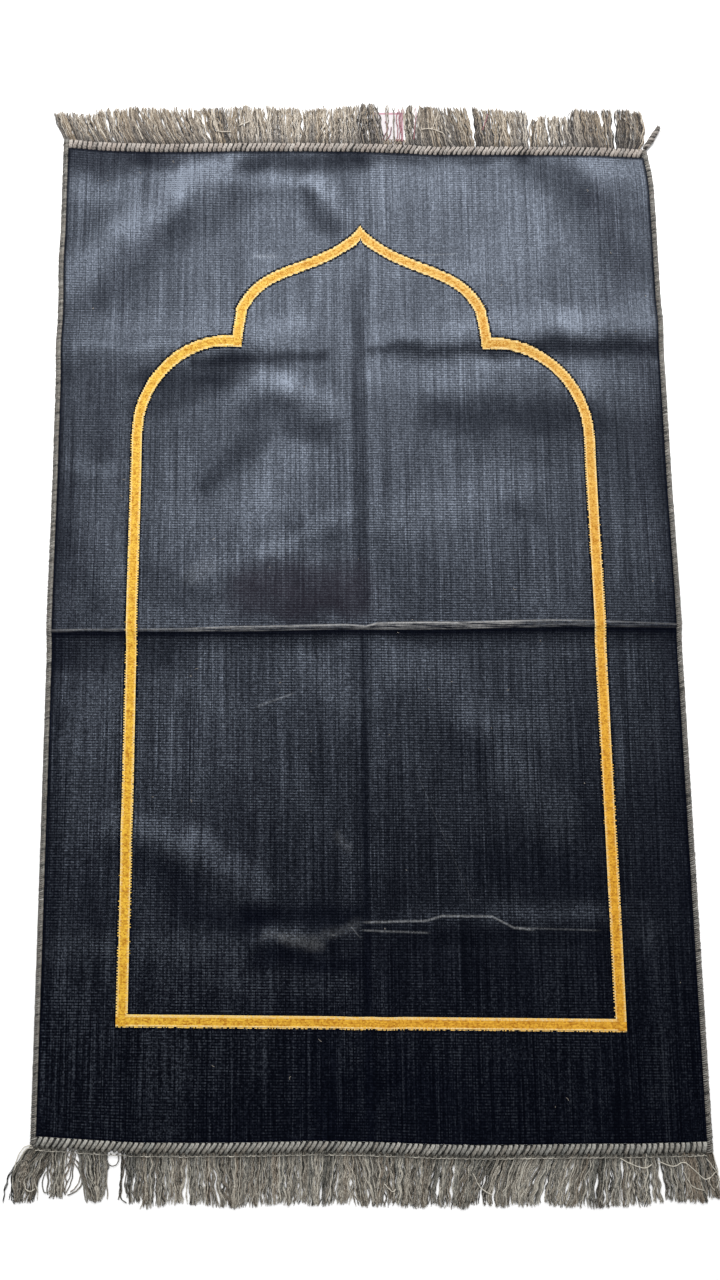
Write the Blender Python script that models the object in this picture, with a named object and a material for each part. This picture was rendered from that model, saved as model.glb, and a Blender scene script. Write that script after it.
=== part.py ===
"""A velvet prayer rug lying flat: pile cloth, whipped ends, overcast sides, fringes, a label and a yarn tail.

The rug is drawn first as it came off the loom, as a rectangle: `across` runs from its left edge to its right
and `along` from its near end to its far end, both from the middle. lay() then puts each point where the cloth
lies on the floor. Sizes are in millimetres until MM turns them into Blender's metres.
"""

import math
import random
from collections import namedtuple

import bmesh
import bpy
from mathutils import Vector
from mathutils.geometry import interpolate_bezier

MM = 0.001
GAP = 0.3  # between two pieces that touch

# The woven body.
HALF_WIDTH = 343.0
HALF_LENGTH = 552.0
CLOTH_THICK = 3.0

# How the body lies: leaning to the left, its right side nearer, and one corner drawn in.
LEAN = -0.0132
SLIP = -0.0091
CORNER_PULL = 7.0
CORNER_ALONG = 490.0
CORNER_ACROSS = 250.0

# Bindings round the cloth. A binding's shoulders stand at SHOULDER of its height.
SHOULDER = 0.55
WHIP_WIDTH = 11.0
WHIP_HEIGHT = 5.0
WHIP_VALLEY = 0.70
WHIP_STITCHES = 120
WHIP_SLANT = 0.40
WHIP_SLANT_EASE = 12.0
WHIP_DRAWN_IN = 0.6
SIDE_WIDTH = 6.0
SIDE_HEIGHT = 4.2

# The fringe and its heading.
HEADING_WIDTH = 4.0
HEADING_HEIGHT = 2.4
LOCK_PITCH = 5.7
LOCK_FILL = 0.74
LOCK_HEIGHT = 2.0
LOCK_TAPER = 0.45
LOCK_STATIONS = (0.28, 0.56, 0.84)
LOCK_UNEVEN = 0.09
LOCK_LEAN_EASE = 1.5
HEADING_END = 0.5
FRINGE_SEED = 7

# The label under the far fringe.
LABEL_LEFT = 16.0
LABEL_RIGHT = 56.0
LABEL_REACH = 43.0
LABEL_THICK = 1.0

# The twisted yarn tail at the far right corner: the ends and handles of its middle line, counted from the
# end of the right binding.
TAIL_ROUTE = ((0.0, 0.0), (7.0, 8.5), (11.0, 15.0), (16.5, 25.0))
TAIL_START = 341.0
TAIL_WIDE = 2.3
TAIL_NARROW = 1.5
TAIL_SIDES = 6
TAIL_RINGS = 12
TAIL_TURNS = 1.5

# The cloth between its bindings.
CLOTH_HALF_WIDTH = HALF_WIDTH - SIDE_WIDTH - GAP
CLOTH_HALF_LENGTH = HALF_LENGTH - WHIP_WIDTH

# How far apart the cloth's rows and columns of points are, away from a crease and beside one.
CLOTH_PITCH = 26.0
CREASE_STEPS = (-18.0, -8.0, 0.0, 8.0, 18.0)
MID_FOLD = -19.0
CENTRE_FOLD = 1.0
END_EASE = 34.0

Fold = namedtuple("Fold", "across_from along_from across_to along_to half_width height sharp")
FOLDS = (
    Fold(-343, MID_FOLD, 343, MID_FOLD, 34, 6.0, True),
    Fold(CENTRE_FOLD - 15, -470, CENTRE_FOLD - 15, 440, 24, 2.2, False),
    Fold(CENTRE_FOLD + 15, -470, CENTRE_FOLD + 15, 440, 24, 2.6, False),
    Fold(50, 308, 343, 312, 34, 4.5, False),
    Fold(-343, 300, -130, 330, 38, 5.0, False),
    Fold(-343, 480, -110, 530, 30, 4.0, False),
    Fold(-343, 372, -235, 458, 30, 4.0, False),
    Fold(-60, 500, 30, 470, 24, 3.0, False),
    Fold(-115, -330, -25, -332, 26, 3.0, False),
    Fold(60, -300, 230, -306, 26, 2.0, False),
)

# One row for each clump of the fringe: where its yarns leave the heading, where they end, how far they reach
# out from the heading, and how far its left side bellies out (minus is to the left).
Clump = namedtuple("Clump", "root_from root_to tip_from tip_to reach belly")
NEAR_CLUMPS = (
    Clump(-341, -319, -352, -336, 46, -9),
    Clump(-319, -305, -322, -312, 41, 0),
    Clump(-303, -297, -310, -305, 38, 0),
    Clump(-293, -267, -283, -272, 43, 0),
    Clump(-252, -246, -251, -245, 42, 0),
    Clump(-245, -228, -240, -228, 46, 0),
    Clump(-228, -210, -226, -212, 49, 0),
    Clump(-210, -176, -209, -178, 46, 0),
    Clump(-176, -161, -175, -164, 45, 0),
    Clump(-161, -131, -159, -132, 48, 0),
    Clump(-131, -120, -131, -124, 46, 0),
    Clump(-120, -100, -120, -102, 46, 0),
    Clump(-100, -64, -98, -66, 45, 0),
    Clump(-64, -22, -63, -24, 44, 0),
    Clump(-22, 12, -15, 10, 45, 0),
    Clump(12, 38, 14, 35, 45, 0),
    Clump(38, 107, 36, 93, 46, 0),
    Clump(109, 133, 95, 112, 44, 0),
    Clump(133, 153, 120, 132, 45, 0),
    Clump(153, 178, 137, 156, 44, 0),
    Clump(178, 203, 158, 188, 43, 0),
    Clump(203, 229, 188, 220, 45, 0),
    Clump(229, 240, 224, 237, 45, 0),
    Clump(240, 262, 243, 260, 43, 0),
    Clump(262, 272, 265, 271, 43, 0),
    Clump(272, 286, 274, 285, 41, 0),
    Clump(286, 290, 296, 300, 37, 0),
    Clump(290, 316, 306, 319, 38, 0),
    Clump(316, 329, 321, 331, 41, 0),
    Clump(329, 341, 335, 346, 35, 0),
)
FAR_CLUMPS = (
    Clump(-341, -323, -349, -337, 33, 0),
    Clump(-323, -288, -335, -304, 32, 0),
    Clump(-288, -251, -303, -267, 39, 0),
    Clump(-251, -192, -265, -211, 40, 0),
    Clump(-192, -169, -205, -186, 39, 0),
    Clump(-169, -137, -182, -142, 42, 0),
    Clump(-137, -72, -138, -74, 43, 0),
    Clump(-72, -49, -73, -51, 42, 0),
    Clump(-49, -9, -50, -9, 43, 0),
    Clump(-9, 14, -8, 14, 46, 0),
    Clump(58, 71, 57.5, 63, 48, 0),
    Clump(72, 137, 75, 127, 42, 0),
    Clump(138, 166, 137, 165, 43, 0),
    Clump(166, 199, 166, 199, 41, 0),
    Clump(201, 218, 205, 214, 31, 0),
    Clump(218, 234, 216, 233, 34, 0),
    Clump(234, 250, 235, 246, 33, 0),
    Clump(250, 303, 252, 302, 42, 0),
    Clump(306, 336, 309, 338, 42, 0),
)

NAVY = (0.012, 0.018, 0.032)
WHIP_GREY = (0.24, 0.22, 0.19)
SIDE_GREY = (0.19, 0.175, 0.155)
FRINGE_TAUPE = (0.20, 0.18, 0.145)
LABEL_WHITE = (0.80, 0.78, 0.75)


def smooth(value):
    """0 below 0, 1 above 1, and an S-shaped step between."""
    value = min(max(value, 0.0), 1.0)
    return value * value * (3.0 - 2.0 * value)


def lay(across, along):
    """Where a point of the woven rectangle lies on the floor."""
    corner = min(max((along - CORNER_ALONG) / (HALF_LENGTH - CORNER_ALONG), 0.0), 1.0) ** 2
    corner *= min(max((across - CORNER_ACROSS) / (HALF_WIDTH - CORNER_ACROSS), 0.0), 1.0)
    return across + LEAN * along - CORNER_PULL * corner, along + SLIP * across


def point(across, along, height):
    """A point of the rug in metres, from its place on the loom and its height over the floor."""
    x, y = lay(across, along)
    return Vector((x, y, height)) * MM


def fold_height(fold, across, along):
    """How high one fold lifts the cloth at a point: full on its line, nothing half_width away."""
    run = Vector((fold.across_to - fold.across_from, fold.along_to - fold.along_from))
    from_start = Vector((across - fold.across_from, along - fold.along_from))
    share = min(max(from_start.dot(run) / run.length_squared, 0.0), 1.0)
    distance = (from_start - run * share).length / fold.half_width
    if distance >= 1.0:
        return 0.0
    if fold.sharp:
        return fold.height * (1.0 - distance) ** 1.5
    return fold.height * math.cos(distance * math.pi / 2.0) ** 2


def rise(across, along):
    """How high the folds lift the cloth's underside. The whipped ends hold the cloth down on the floor."""
    lift = max(fold_height(fold, across, along) for fold in FOLDS)
    return lift * smooth((CLOTH_HALF_LENGTH - abs(along)) / END_EASE)


def stations(half, crease):
    """Even steps from -half to half, with closer ones beside a crease."""
    count = round(2.0 * half / CLOTH_PITCH)
    even = [half * (2.0 * index / count - 1.0) for index in range(count + 1)]
    close = [crease + step for step in CREASE_STEPS]
    clear = CLOTH_PITCH * 0.4
    kept = [place for place in even if place < close[0] - clear or place > close[-1] + clear]
    return sorted(kept + close)


def cloth_rows():
    return stations(CLOTH_HALF_LENGTH, MID_FOLD)


def cloth_columns():
    return stations(CLOTH_HALF_WIDTH, CENTRE_FOLD)


def finish_material(name, colour, roughness):
    material = bpy.data.materials.new(name)
    material.use_nodes = True
    shader = material.node_tree.nodes["Principled BSDF"]
    shader.inputs["Base Color"].default_value = (*colour, 1.0)
    shader.inputs["Roughness"].default_value = roughness
    shader.inputs["Metallic"].default_value = 0.0
    return material


def add_piece(name, shape, material, rug):
    """Turn a finished bmesh into one named piece of the rug."""
    bmesh.ops.recalc_face_normals(shape, faces=shape.faces)
    mesh = bpy.data.meshes.new(name)
    shape.to_mesh(mesh)
    shape.free()
    mesh.materials.append(material)
    piece = bpy.data.objects.new(name, mesh)
    bpy.context.scene.collection.objects.link(piece)
    piece.parent = rug
    return piece


def skin_rings(shape, rings):
    """Join rings of points, all of one count, into a closed tube with a flat cap at each end."""
    loops = [[shape.verts.new(place) for place in ring] for ring in rings]
    for first, second in zip(loops, loops[1:]):
        for index in range(len(first)):
            after = (index + 1) % len(first)
            shape.faces.new((first[index], first[after], second[after], second[index]))
    shape.faces.new(loops[0])
    shape.faces.new(loops[-1])


def make_pile_cloth(rug):
    """The cloth: a grid on the folds' underside, extruded upwards by the cloth's thickness."""
    rows = cloth_rows()
    columns = cloth_columns()
    shape = bmesh.new()
    bmesh.ops.create_grid(shape, x_segments=len(columns) - 1, y_segments=len(rows) - 1)
    shape.verts.ensure_lookup_table()
    for index, vert in enumerate(shape.verts):
        across = columns[index % len(columns)]
        along = rows[index // len(columns)]
        vert.co = point(across, along, rise(across, along))
    raised = bmesh.ops.extrude_face_region(shape, geom=shape.faces[:])
    top = [item for item in raised["geom"] if isinstance(item, bmesh.types.BMVert)]
    bmesh.ops.translate(shape, verts=top, vec=Vector((0.0, 0.0, CLOTH_THICK)) * MM)
    return add_piece("pile_cloth", shape, finish_material("navy_velvet", NAVY, 0.9), rug)


def make_whipped_end(name, side, material, rug):
    """The yarn whipped over an end: a ridge on every stitch, a valley between two, all slanted alike."""
    half = CLOTH_HALF_WIDTH
    inner = CLOTH_HALF_LENGTH + GAP
    outer = HALF_LENGTH
    middle = (inner + outer) / 2.0
    shape = bmesh.new()
    rings = []
    for step in range(2 * WHIP_STITCHES + 1):
        across = half * (step / WHIP_STITCHES - 1.0)
        full = 1.0 if step % 2 else WHIP_VALLEY
        slant = WHIP_SLANT * min(1.0, (half - abs(across)) / WHIP_SLANT_EASE)
        section = (
            (inner, 0.0),
            (outer, 0.0),
            (outer - WHIP_DRAWN_IN, SHOULDER * WHIP_HEIGHT * full),
            (middle, WHIP_HEIGHT * full),
            (inner + WHIP_DRAWN_IN, SHOULDER * WHIP_HEIGHT * full),
        )
        ring = [
            point(across + slant * side * (reach - middle), side * reach, height) for reach, height in section
        ]
        rings.append(ring)
    skin_rings(shape, rings)
    return add_piece(name, shape, material, rug)


def make_side_overcast(name, side, material, rug):
    """The thread overcast along a side: a low rounded band that rides up over the folds."""
    inner = HALF_WIDTH - SIDE_WIDTH
    outer = HALF_WIDTH
    section = (
        (inner, 0.0),
        (outer, 0.0),
        (outer, SHOULDER * SIDE_HEIGHT),
        ((inner + outer) / 2.0, SIDE_HEIGHT),
        (inner, SHOULDER * SIDE_HEIGHT),
    )
    shape = bmesh.new()
    rings = []
    for along in [-HALF_LENGTH, *cloth_rows(), HALF_LENGTH]:
        lift = rise(side * inner, along)
        rings.append([point(side * across, along, lift + height) for across, height in section])
    skin_rings(shape, rings)
    return add_piece(name, shape, material, rug)


def clump_edge(clump, share, reached):
    """The line between two locks of a clump: share is 0 at its left edge, reached is 0 at the heading."""
    root = clump.root_from + (clump.root_to - clump.root_from) * share
    tip = clump.tip_from + (clump.tip_to - clump.tip_from) * share
    eased = 1.0 - (1.0 - reached) ** LOCK_LEAN_EASE
    belly = clump.belly * (1.0 - share) * 4.0 * reached * (1.0 - reached)
    return root + (tip - root) * eased + belly


def lock_sections(clump, index, count, length):
    """Left edge, right edge, reach and height of a lock, from the heading to just before its tip."""
    spare = (1.0 - LOCK_FILL) / 2.0
    sections = []
    for station in (0.0, *LOCK_STATIONS):
        reached = station * length
        left = clump_edge(clump, (index + spare) / count, reached)
        right = clump_edge(clump, (index + 1 - spare) / count, reached)
        height = HEADING_HEIGHT if station == 0.0 else LOCK_HEIGHT * (1.0 - LOCK_TAPER * station)
        sections.append((left, right, reached * clump.reach, height))
    return sections


def add_lock(shape, side, sections, tip):
    """One three-sided lock, flat underneath and closed to a point. Returns the three points at its root."""
    heading = HALF_LENGTH + HEADING_WIDTH
    rings = []
    for left, right, reach, height in sections:
        along = side * (heading + reach)
        corners = ((left, 0.0), (right, 0.0), ((left + right) / 2.0, height))
        rings.append([shape.verts.new(point(across, along, up)) for across, up in corners])
    for first, second in zip(rings, rings[1:]):
        for index in range(3):
            after = (index + 1) % 3
            shape.faces.new((first[index], first[after], second[after], second[index]))
    end = shape.verts.new(point(tip[0], side * (heading + tip[1]), 0.0))
    for index in range(3):
        shape.faces.new((rings[-1][index], rings[-1][(index + 1) % 3], end))
    return rings[0]


def make_fringe(name, side, clumps, material, rug):
    """A heading strip with a comb of locks standing out of its outer face, clump by clump."""
    rng = random.Random(FRINGE_SEED + side)
    inner = side * (HALF_LENGTH + GAP)
    outer = side * (HALF_LENGTH + HEADING_WIDTH)
    shape = bmesh.new()

    def heading_column(across):
        """The low and the high point of the heading's back face."""
        return [shape.verts.new(point(across, inner, up)) for up in (0.0, HEADING_HEIGHT)]

    def end_column(across):
        """The same with the two points in front, where the heading ends and no lock stands."""
        low = shape.verts.new(point(across, outer, 0.0))
        high = shape.verts.new(point(across, outer, HEADING_HEIGHT))
        return (low, low, high, *heading_column(across))

    columns = [end_column(clumps[0].root_from - HEADING_END)]
    for clump in clumps:
        count = max(1, round((clump.root_to - clump.root_from) / LOCK_PITCH))
        for index in range(count):
            length = 1.0 - LOCK_UNEVEN * rng.random()
            sections = lock_sections(clump, index, count, length)
            tip = (clump_edge(clump, (index + 0.5) / count, length), length * clump.reach)
            left, right, top = add_lock(shape, side, sections, tip)
            back = heading_column((sections[0][0] + sections[0][1]) / 2.0)
            shape.faces.new((back[0], left, right))
            columns.append((left, right, top, *back))
    columns.append(end_column(clumps[-1].root_to + HEADING_END))

    for (_, right, top, low, high), (left, _, next_top, next_low, next_high) in zip(columns, columns[1:]):
        shape.faces.new((right, left, next_top, top))
        shape.faces.new((top, next_top, next_high, high))
        shape.faces.new((high, next_high, next_low, low))
        shape.faces.new((low, next_low, left, right))
    for low_front, _, high_front, low_back, high_back in (columns[0], columns[-1]):
        shape.faces.new((low_front, high_front, high_back, low_back))
    return add_piece(name, shape, material, rug)


def make_label(rug):
    """A bare woven label, sewn under the far end and lying flat beyond the heading."""
    near = HALF_LENGTH + HEADING_WIDTH + GAP
    far = HALF_LENGTH + LABEL_REACH
    corners = ((LABEL_LEFT, near), (LABEL_RIGHT, near), (LABEL_RIGHT, far), (LABEL_LEFT, far))
    shape = bmesh.new()
    rings = [[point(across, along, up) for across, along in corners] for up in (0.0, LABEL_THICK)]
    skin_rings(shape, rings)
    return add_piece("sewn_label", shape, finish_material("label_ribbon", LABEL_WHITE, 0.6), rug)


def make_tail(material, rug):
    """The twisted yarn end: a flattened round section that turns as it goes along the floor."""
    start = Vector(lay(TAIL_START, HALF_LENGTH + TAIL_WIDE + GAP))
    ends_and_handles = [start + Vector(place) for place in TAIL_ROUTE]
    route = interpolate_bezier(*ends_and_handles, TAIL_RINGS + 1)
    shape = bmesh.new()
    rings = []
    for step, middle in enumerate(route):
        share = step / TAIL_RINGS
        ahead = route[min(step + 1, TAIL_RINGS)]
        behind = route[max(step - 1, 0)]
        sideways = (ahead - behind).to_2d().orthogonal().normalized()
        turn = 2.0 * math.pi * TAIL_TURNS * share
        ring = []
        for corner in range(TAIL_SIDES):
            angle = 2.0 * math.pi * corner / TAIL_SIDES
            wide = TAIL_WIDE * math.cos(angle)
            narrow = TAIL_NARROW * math.sin(angle)
            offset = wide * math.cos(turn) - narrow * math.sin(turn)
            height = TAIL_WIDE + wide * math.sin(turn) + narrow * math.cos(turn)
            place = middle.to_2d() + sideways * offset
            ring.append(Vector((place.x, place.y, height)) * MM)
        rings.append(ring)
    skin_rings(shape, rings)
    return add_piece("corner_tail", shape, material, rug)


def stand_on_origin(rug, pieces):
    """Move the rug so that the middle of its whole outline is over the origin."""
    corners = [vertex.co for piece in pieces for vertex in piece.data.vertices]
    middle = [(min(axis) + max(axis)) / 2.0 for axis in list(zip(*corners))[:2]]
    rug.location = (-middle[0], -middle[1], 0.0)


def main():
    for item in list(bpy.data.objects):
        bpy.data.objects.remove(item)
    rug = bpy.data.objects.new("prayer_rug", None)
    bpy.context.scene.collection.objects.link(rug)

    whip_yarn = finish_material("whip_yarn", WHIP_GREY, 0.8)
    side_thread = finish_material("side_thread", SIDE_GREY, 0.8)
    fringe_yarn = finish_material("fringe_yarn", FRINGE_TAUPE, 0.85)

    pieces = [
        make_pile_cloth(rug),
        make_whipped_end("whipped_end_near", -1, whip_yarn, rug),
        make_whipped_end("whipped_end_far", 1, whip_yarn, rug),
        make_side_overcast("side_overcast_left", -1, side_thread, rug),
        make_side_overcast("side_overcast_right", 1, side_thread, rug),
        make_fringe("fringe_near", -1, NEAR_CLUMPS, fringe_yarn, rug),
        make_fringe("fringe_far", 1, FAR_CLUMPS, fringe_yarn, rug),
        make_label(rug),
        make_tail(fringe_yarn, rug),
    ]
    stand_on_origin(rug, pieces)


main()
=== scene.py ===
# %% [markdown]
# # A velvet prayer rug
#
# The solids of this rug already lie where the rug lies: a pile cloth, two whipped ends, two overcast sides, two
# fringes, a label and a loose yarn end. They are plain. This lesson dresses them, one finish at a time: the pile
# with its woven arch line, then every stitch and every yarn as thread, then the light. All of it is in metres, in
# the frame of the solids, with the arch pointing to +Y.

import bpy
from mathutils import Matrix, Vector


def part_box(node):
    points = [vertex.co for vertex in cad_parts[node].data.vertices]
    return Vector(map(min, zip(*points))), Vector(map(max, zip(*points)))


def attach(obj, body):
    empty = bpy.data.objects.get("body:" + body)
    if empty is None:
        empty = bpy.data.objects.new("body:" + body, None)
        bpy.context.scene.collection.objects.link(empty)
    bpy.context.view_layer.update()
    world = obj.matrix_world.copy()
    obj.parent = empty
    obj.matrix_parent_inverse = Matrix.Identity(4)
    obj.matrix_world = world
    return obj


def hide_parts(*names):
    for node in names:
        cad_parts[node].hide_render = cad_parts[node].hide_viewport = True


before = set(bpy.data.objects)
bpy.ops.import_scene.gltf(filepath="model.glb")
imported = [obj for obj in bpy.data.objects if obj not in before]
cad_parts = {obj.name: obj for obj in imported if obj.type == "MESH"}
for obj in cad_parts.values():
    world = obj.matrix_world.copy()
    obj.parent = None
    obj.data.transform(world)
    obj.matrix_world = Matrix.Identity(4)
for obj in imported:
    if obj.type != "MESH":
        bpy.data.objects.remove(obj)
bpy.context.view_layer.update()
print("solids:", ", ".join(sorted(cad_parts)))

# %% The tools used below
import math
from collections import namedtuple

import bpy
import numpy as np
from mathutils import Vector
from mathutils.geometry import interpolate_bezier

MM = 0.001

# %% [markdown]
# ## Drawing on the loom, laying on the floor
#
# A rug is easiest to describe as it came off the loom: a rectangle, measured `across` from its middle to the right
# and `along` from its middle to the far end, in millimetres. On the floor it lies a little askew, with one corner
# drawn in. One function, `place`, carries a point from the loom to the floor, so each later step can stay on the
# loom. It works on whole arrays of points, which keeps thousands of yarns quick.

# %% From the loom to the floor
HALF_WIDTH = 343.0
HALF_LENGTH = 552.0
SIDE_WIDTH = 6.0  # the overcasting
WHIP_WIDTH = 11.0  # the whipping
GAP = 0.3  # between the cloth and the overcasting
CLOTH_THICK = 3.0
LEAN = -0.0132  # of the sides, to the right for each millimetre along
SLIP = -0.0091  # of the ends, along for each millimetre to the right
CORNER_PULL = 7.0  # how far the far right corner is drawn in
CORNER_ALONG = 490.0  # where that starts
CORNER_ACROSS = 250.0
CLOTH_HALF_WIDTH = HALF_WIDTH - SIDE_WIDTH - GAP
CLOTH_HALF_LENGTH = HALF_LENGTH - WHIP_WIDTH

cloth_low, cloth_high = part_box("pile_cloth")
RUG_MIDDLE = (cloth_low + cloth_high) / 2

# The ends are no ruled lines: the whipping drew them in here and let them out there, by a few millimetres.
NEAR_DRIFT = ((-343, -3.0), (-330, -2.2), (-300, -0.6), (-240, 2.4), (-180, 2.3), (-120, 1.2), (-60, -0.7),
              (0, -0.5), (60, 1.3), (105, 1.7), (150, 1.0), (210, -0.4), (270, -1.2), (343, -3.8))
FAR_DRIFT = ((-343, 4.0), (-325, 2.8), (-295, 0.2), (-240, -1.2), (-200, -0.8), (-150, 0.6), (-60, 1.5), (0, 1.4),
             (50, 0.0), (90, -1.8), (150, -1.2), (240, -0.8), (280, -1.0), (343, -3.6))
DRIFT_FROM = 492.0
DRIFT_FULL = 532.0
DRIFT_TO = 590.0
DRIFT_FADE = 30.0


def drift(across, along):
    """How far an end has wandered, in millimetres along. It fades into the cloth and towards the fringe's tips."""
    near = -np.interp(across, *zip(*NEAR_DRIFT))
    far = np.interp(across, *zip(*FAR_DRIFT))
    outward = np.abs(along)
    share = np.clip((outward - DRIFT_FROM) / (DRIFT_FULL - DRIFT_FROM), 0, 1)
    share = share * np.clip((DRIFT_TO - outward) / DRIFT_FADE, 0, 1)
    return share * np.where(np.asarray(along) > 0, far, near)


def lay(across, along):
    """Where points of the woven rectangle lie on the floor, in millimetres from the rug's middle."""
    corner = np.clip((along - CORNER_ALONG) / (HALF_LENGTH - CORNER_ALONG), 0, 1) ** 2
    corner = corner * np.clip((across - CORNER_ACROSS) / (HALF_WIDTH - CORNER_ACROSS), 0, 1)
    return across + LEAN * along - CORNER_PULL * corner, along + SLIP * across + drift(across, along)


def place(across, along, height):
    """Points of the rug in metres. Any of the three may be an array."""
    x, y = lay(across, along)
    x, y, z = np.broadcast_arrays(x * MM + RUG_MIDDLE.x, y * MM + RUG_MIDDLE.y, height * MM)
    return np.stack([x, y, z], axis=-1)


print("middle of the rug:", [round(value, 4) for value in RUG_MIDDLE])

# %% [markdown]
# ## The camera
#
# The photo looks almost straight down, from the height of an arm, and leans a few degrees towards the arch. The
# four corners of the rug fix the camera: a lens of 28 mm on a 36 mm frame, 8.5 degrees off the vertical.

# %% Set up the camera
CAMERA_PLACE = Vector((-0.0043, -0.1919, 1.0691))
CAMERA_TILT = math.radians(8.535)
LENS = 28.125
SENSOR = 36.0


def add_object(name, data):
    """A new object at the origin, linked to the scene."""
    made = bpy.data.objects.new(name, data)
    bpy.context.scene.collection.objects.link(made)
    return made


camera_lens = bpy.data.cameras.new("camera")
camera_lens.lens = LENS
camera_lens.sensor_width = SENSOR
camera = add_object("camera", camera_lens)
camera.location = Vector((RUG_MIDDLE.x, RUG_MIDDLE.y, 0.0)) + CAMERA_PLACE
camera.rotation_euler = (CAMERA_TILT, 0.0, 0.0)
bpy.context.scene.camera = camera
print("camera at", [round(value, 3) for value in camera.location])

# %% [markdown]
# ## Writing node trees as sums
#
# Materials and Geometry Nodes are both node trees. `Graph.node` adds any node with its settings and its sockets in
# one line. A `Term` is one output of a node, and it knows how to add, multiply and compare, so that shader maths
# can be written as ordinary sums: `1 - mask` adds a Math node and links it.

# %% One output of a node


class Term:
    """One output of a node. Sums on it add Math nodes to its tree."""

    def __init__(self, graph, socket):
        self.graph = graph
        self.socket = socket

    def output(self, index):
        return Term(self.graph, self.socket.node.outputs[index])

    def maths(self, operation, *others):
        values = dict(enumerate((self, *others)))
        return self.graph.node("ShaderNodeMath", {"operation": operation}, values)

    def __add__(self, other):
        return self.maths("ADD", other)

    def __sub__(self, other):
        return self.maths("SUBTRACT", other)

    def __rsub__(self, other):
        return self.maths("MULTIPLY", -1.0) + other

    def __mul__(self, other):
        return self.maths("MULTIPLY", other)

    def __truediv__(self, other):
        return self.maths("DIVIDE", other)

    def __pow__(self, other):
        return self.maths("POWER", other)

    def __abs__(self):
        return self.maths("ABSOLUTE")

    __radd__ = __add__
    __rmul__ = __mul__

    def clamped(self):
        return self.graph.node("ShaderNodeClamp", None, {0: self})

    def above(self, edge):
        return self.maths("GREATER_THAN", edge)

    def below(self, edge):
        return self.maths("LESS_THAN", edge)

    def ease(self, low, high):
        """0 at low, 1 at high, and an S-shaped step between."""
        values = {"Value": self, "From Min": low, "From Max": high}
        return self.graph.node("ShaderNodeMapRange", {"interpolation_type": "SMOOTHSTEP"}, values)


print("a term can be added, subtracted, multiplied, divided and raised to a power")

# %% [markdown]
# A `Graph` holds the tree. A `Finish` is the graph of a material, and `Finish.end` links its last shader to the
# output.

# %% A node tree that is being built


class Graph:
    """A node tree that is being built."""

    def __init__(self, tree):
        self.tree = tree

    def node(self, kind, settings=None, values=None, output=0):
        made = self.tree.nodes.new(kind)
        for name, value in (settings or {}).items():
            setattr(made, name, value)
        for name, value in (values or {}).items():
            if isinstance(value, Term):
                self.tree.links.new(value.socket, made.inputs[name])
            else:
                made.inputs[name].default_value = value
        return Term(self, made.outputs[output]) if len(made.outputs) else None

    def point(self, x, y, z=0.0):
        return self.node("ShaderNodeCombineXYZ", None, {0: x, 1: y, 2: z})

    def mix_colour(self, share, first, second):
        return self.node("ShaderNodeMix", {"data_type": "RGBA"}, {0: share, 6: first, 7: second}, output=2)

    def split(self, vector):
        """The first two parts of a vector."""
        parts = self.node("ShaderNodeSeparateXYZ", None, {0: vector})
        return parts, parts.output(1)

    def noise(self, vector, detail=2.0, rough=0.5, scale=1.0):
        values = {"Vector": vector, "Scale": scale, "Detail": detail, "Roughness": rough}
        return self.node("ShaderNodeTexNoise", None, values)

    def attribute(self, name):
        return self.node("ShaderNodeAttribute", {"attribute_name": name}, output=2)


class Finish(Graph):
    """A material that is being built."""

    def __init__(self, name):
        self.material = bpy.data.materials.new(name)
        self.material.use_nodes = True
        super().__init__(self.material.node_tree)
        self.tree.nodes.clear()

    def on_object(self):
        """The point's place on the object, in metres."""
        return self.node("ShaderNodeTexCoord", output=3)

    def bump(self, height, strength, distance):
        return self.node("ShaderNodeBump", None, {"Strength": strength, "Distance": distance, "Height": height})

    def mix_shaders(self, share, first, second):
        return self.node("ShaderNodeMixShader", None, {0: share, 1: first, 2: second})

    def surface(self, **values):
        """A Principled shader. Its sockets are named with _ for a space."""
        named = {name.replace("_", " "): value for name, value in values.items()}
        return self.node("ShaderNodeBsdfPrincipled", None, named)

    def end(self, shader):
        self.node("ShaderNodeOutputMaterial", None, {"Surface": shader})
        return self.material


def colour(red, green, blue):
    return (red, green, blue, 1.0)


print("helpers ready")

# %% [markdown]
# ## How the cloth lies
#
# A velvet rug that was stored folded keeps its creases. There is one sharp fold across the middle, where the pile
# is worn to a pale line: its near side drops quickly, its far side hardly slopes. A soft double ridge runs down the
# centre with a trough in it, and low waves come from rolling. Each is a ridge along a short line, so a table of
# lines, with a width and a height for each, is the whole drape. A simulation would give other creases than these,
# so they are listed one by one.

# %% The folds of the cloth
Fold = namedtuple("Fold", "across_from along_from across_to along_to half_width height")
FOLDS = [Fold(*row) for row in (
    (-14, -470, -14, 440, 22, 2.0), (16, -470, 16, 440, 22, 2.4), (50, 312, 343, 332, 34, 3.4),
    (-343, 300, -130, 316, 40, 3.6), (-343, 395, -215, 478, 44, 3.4), (-215, 478, -110, 520, 36, 3.0),
    (-130, 500, -50, 494, 20, 1.6), (-50, 494, -22, 462, 18, 1.8), (-118, 262, -40, 240, 26, 1.8),
    (-260, -236, -180, -258, 34, 1.8), (-180, -258, -110, -304, 30, 2.2), (-115, -346, -15, -338, 20, 2.0),
    (0, -332, 240, -326, 24, 1.6), (130, 200, 250, 205, 44, 1.4), (-190, 50, -20, 112, 50, 1.8),
    (40, -70, 190, -210, 60, 1.4),
)]
FOLD_BLEND = 3.0  # above 1, so that the higher of two folds wins where they cross
END_EASE = 34.0  # the folds run out this far from each end
MID_FOLD_HEIGHT = 4.2
MID_FOLD_NEAR = 27.0  # how far its near slope reaches
MID_FOLD_FAR = 190.0  # how far its far slope reaches
MID_FOLD_POWER = 2.3
MID_FOLD_ROUND = 1.6
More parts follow.
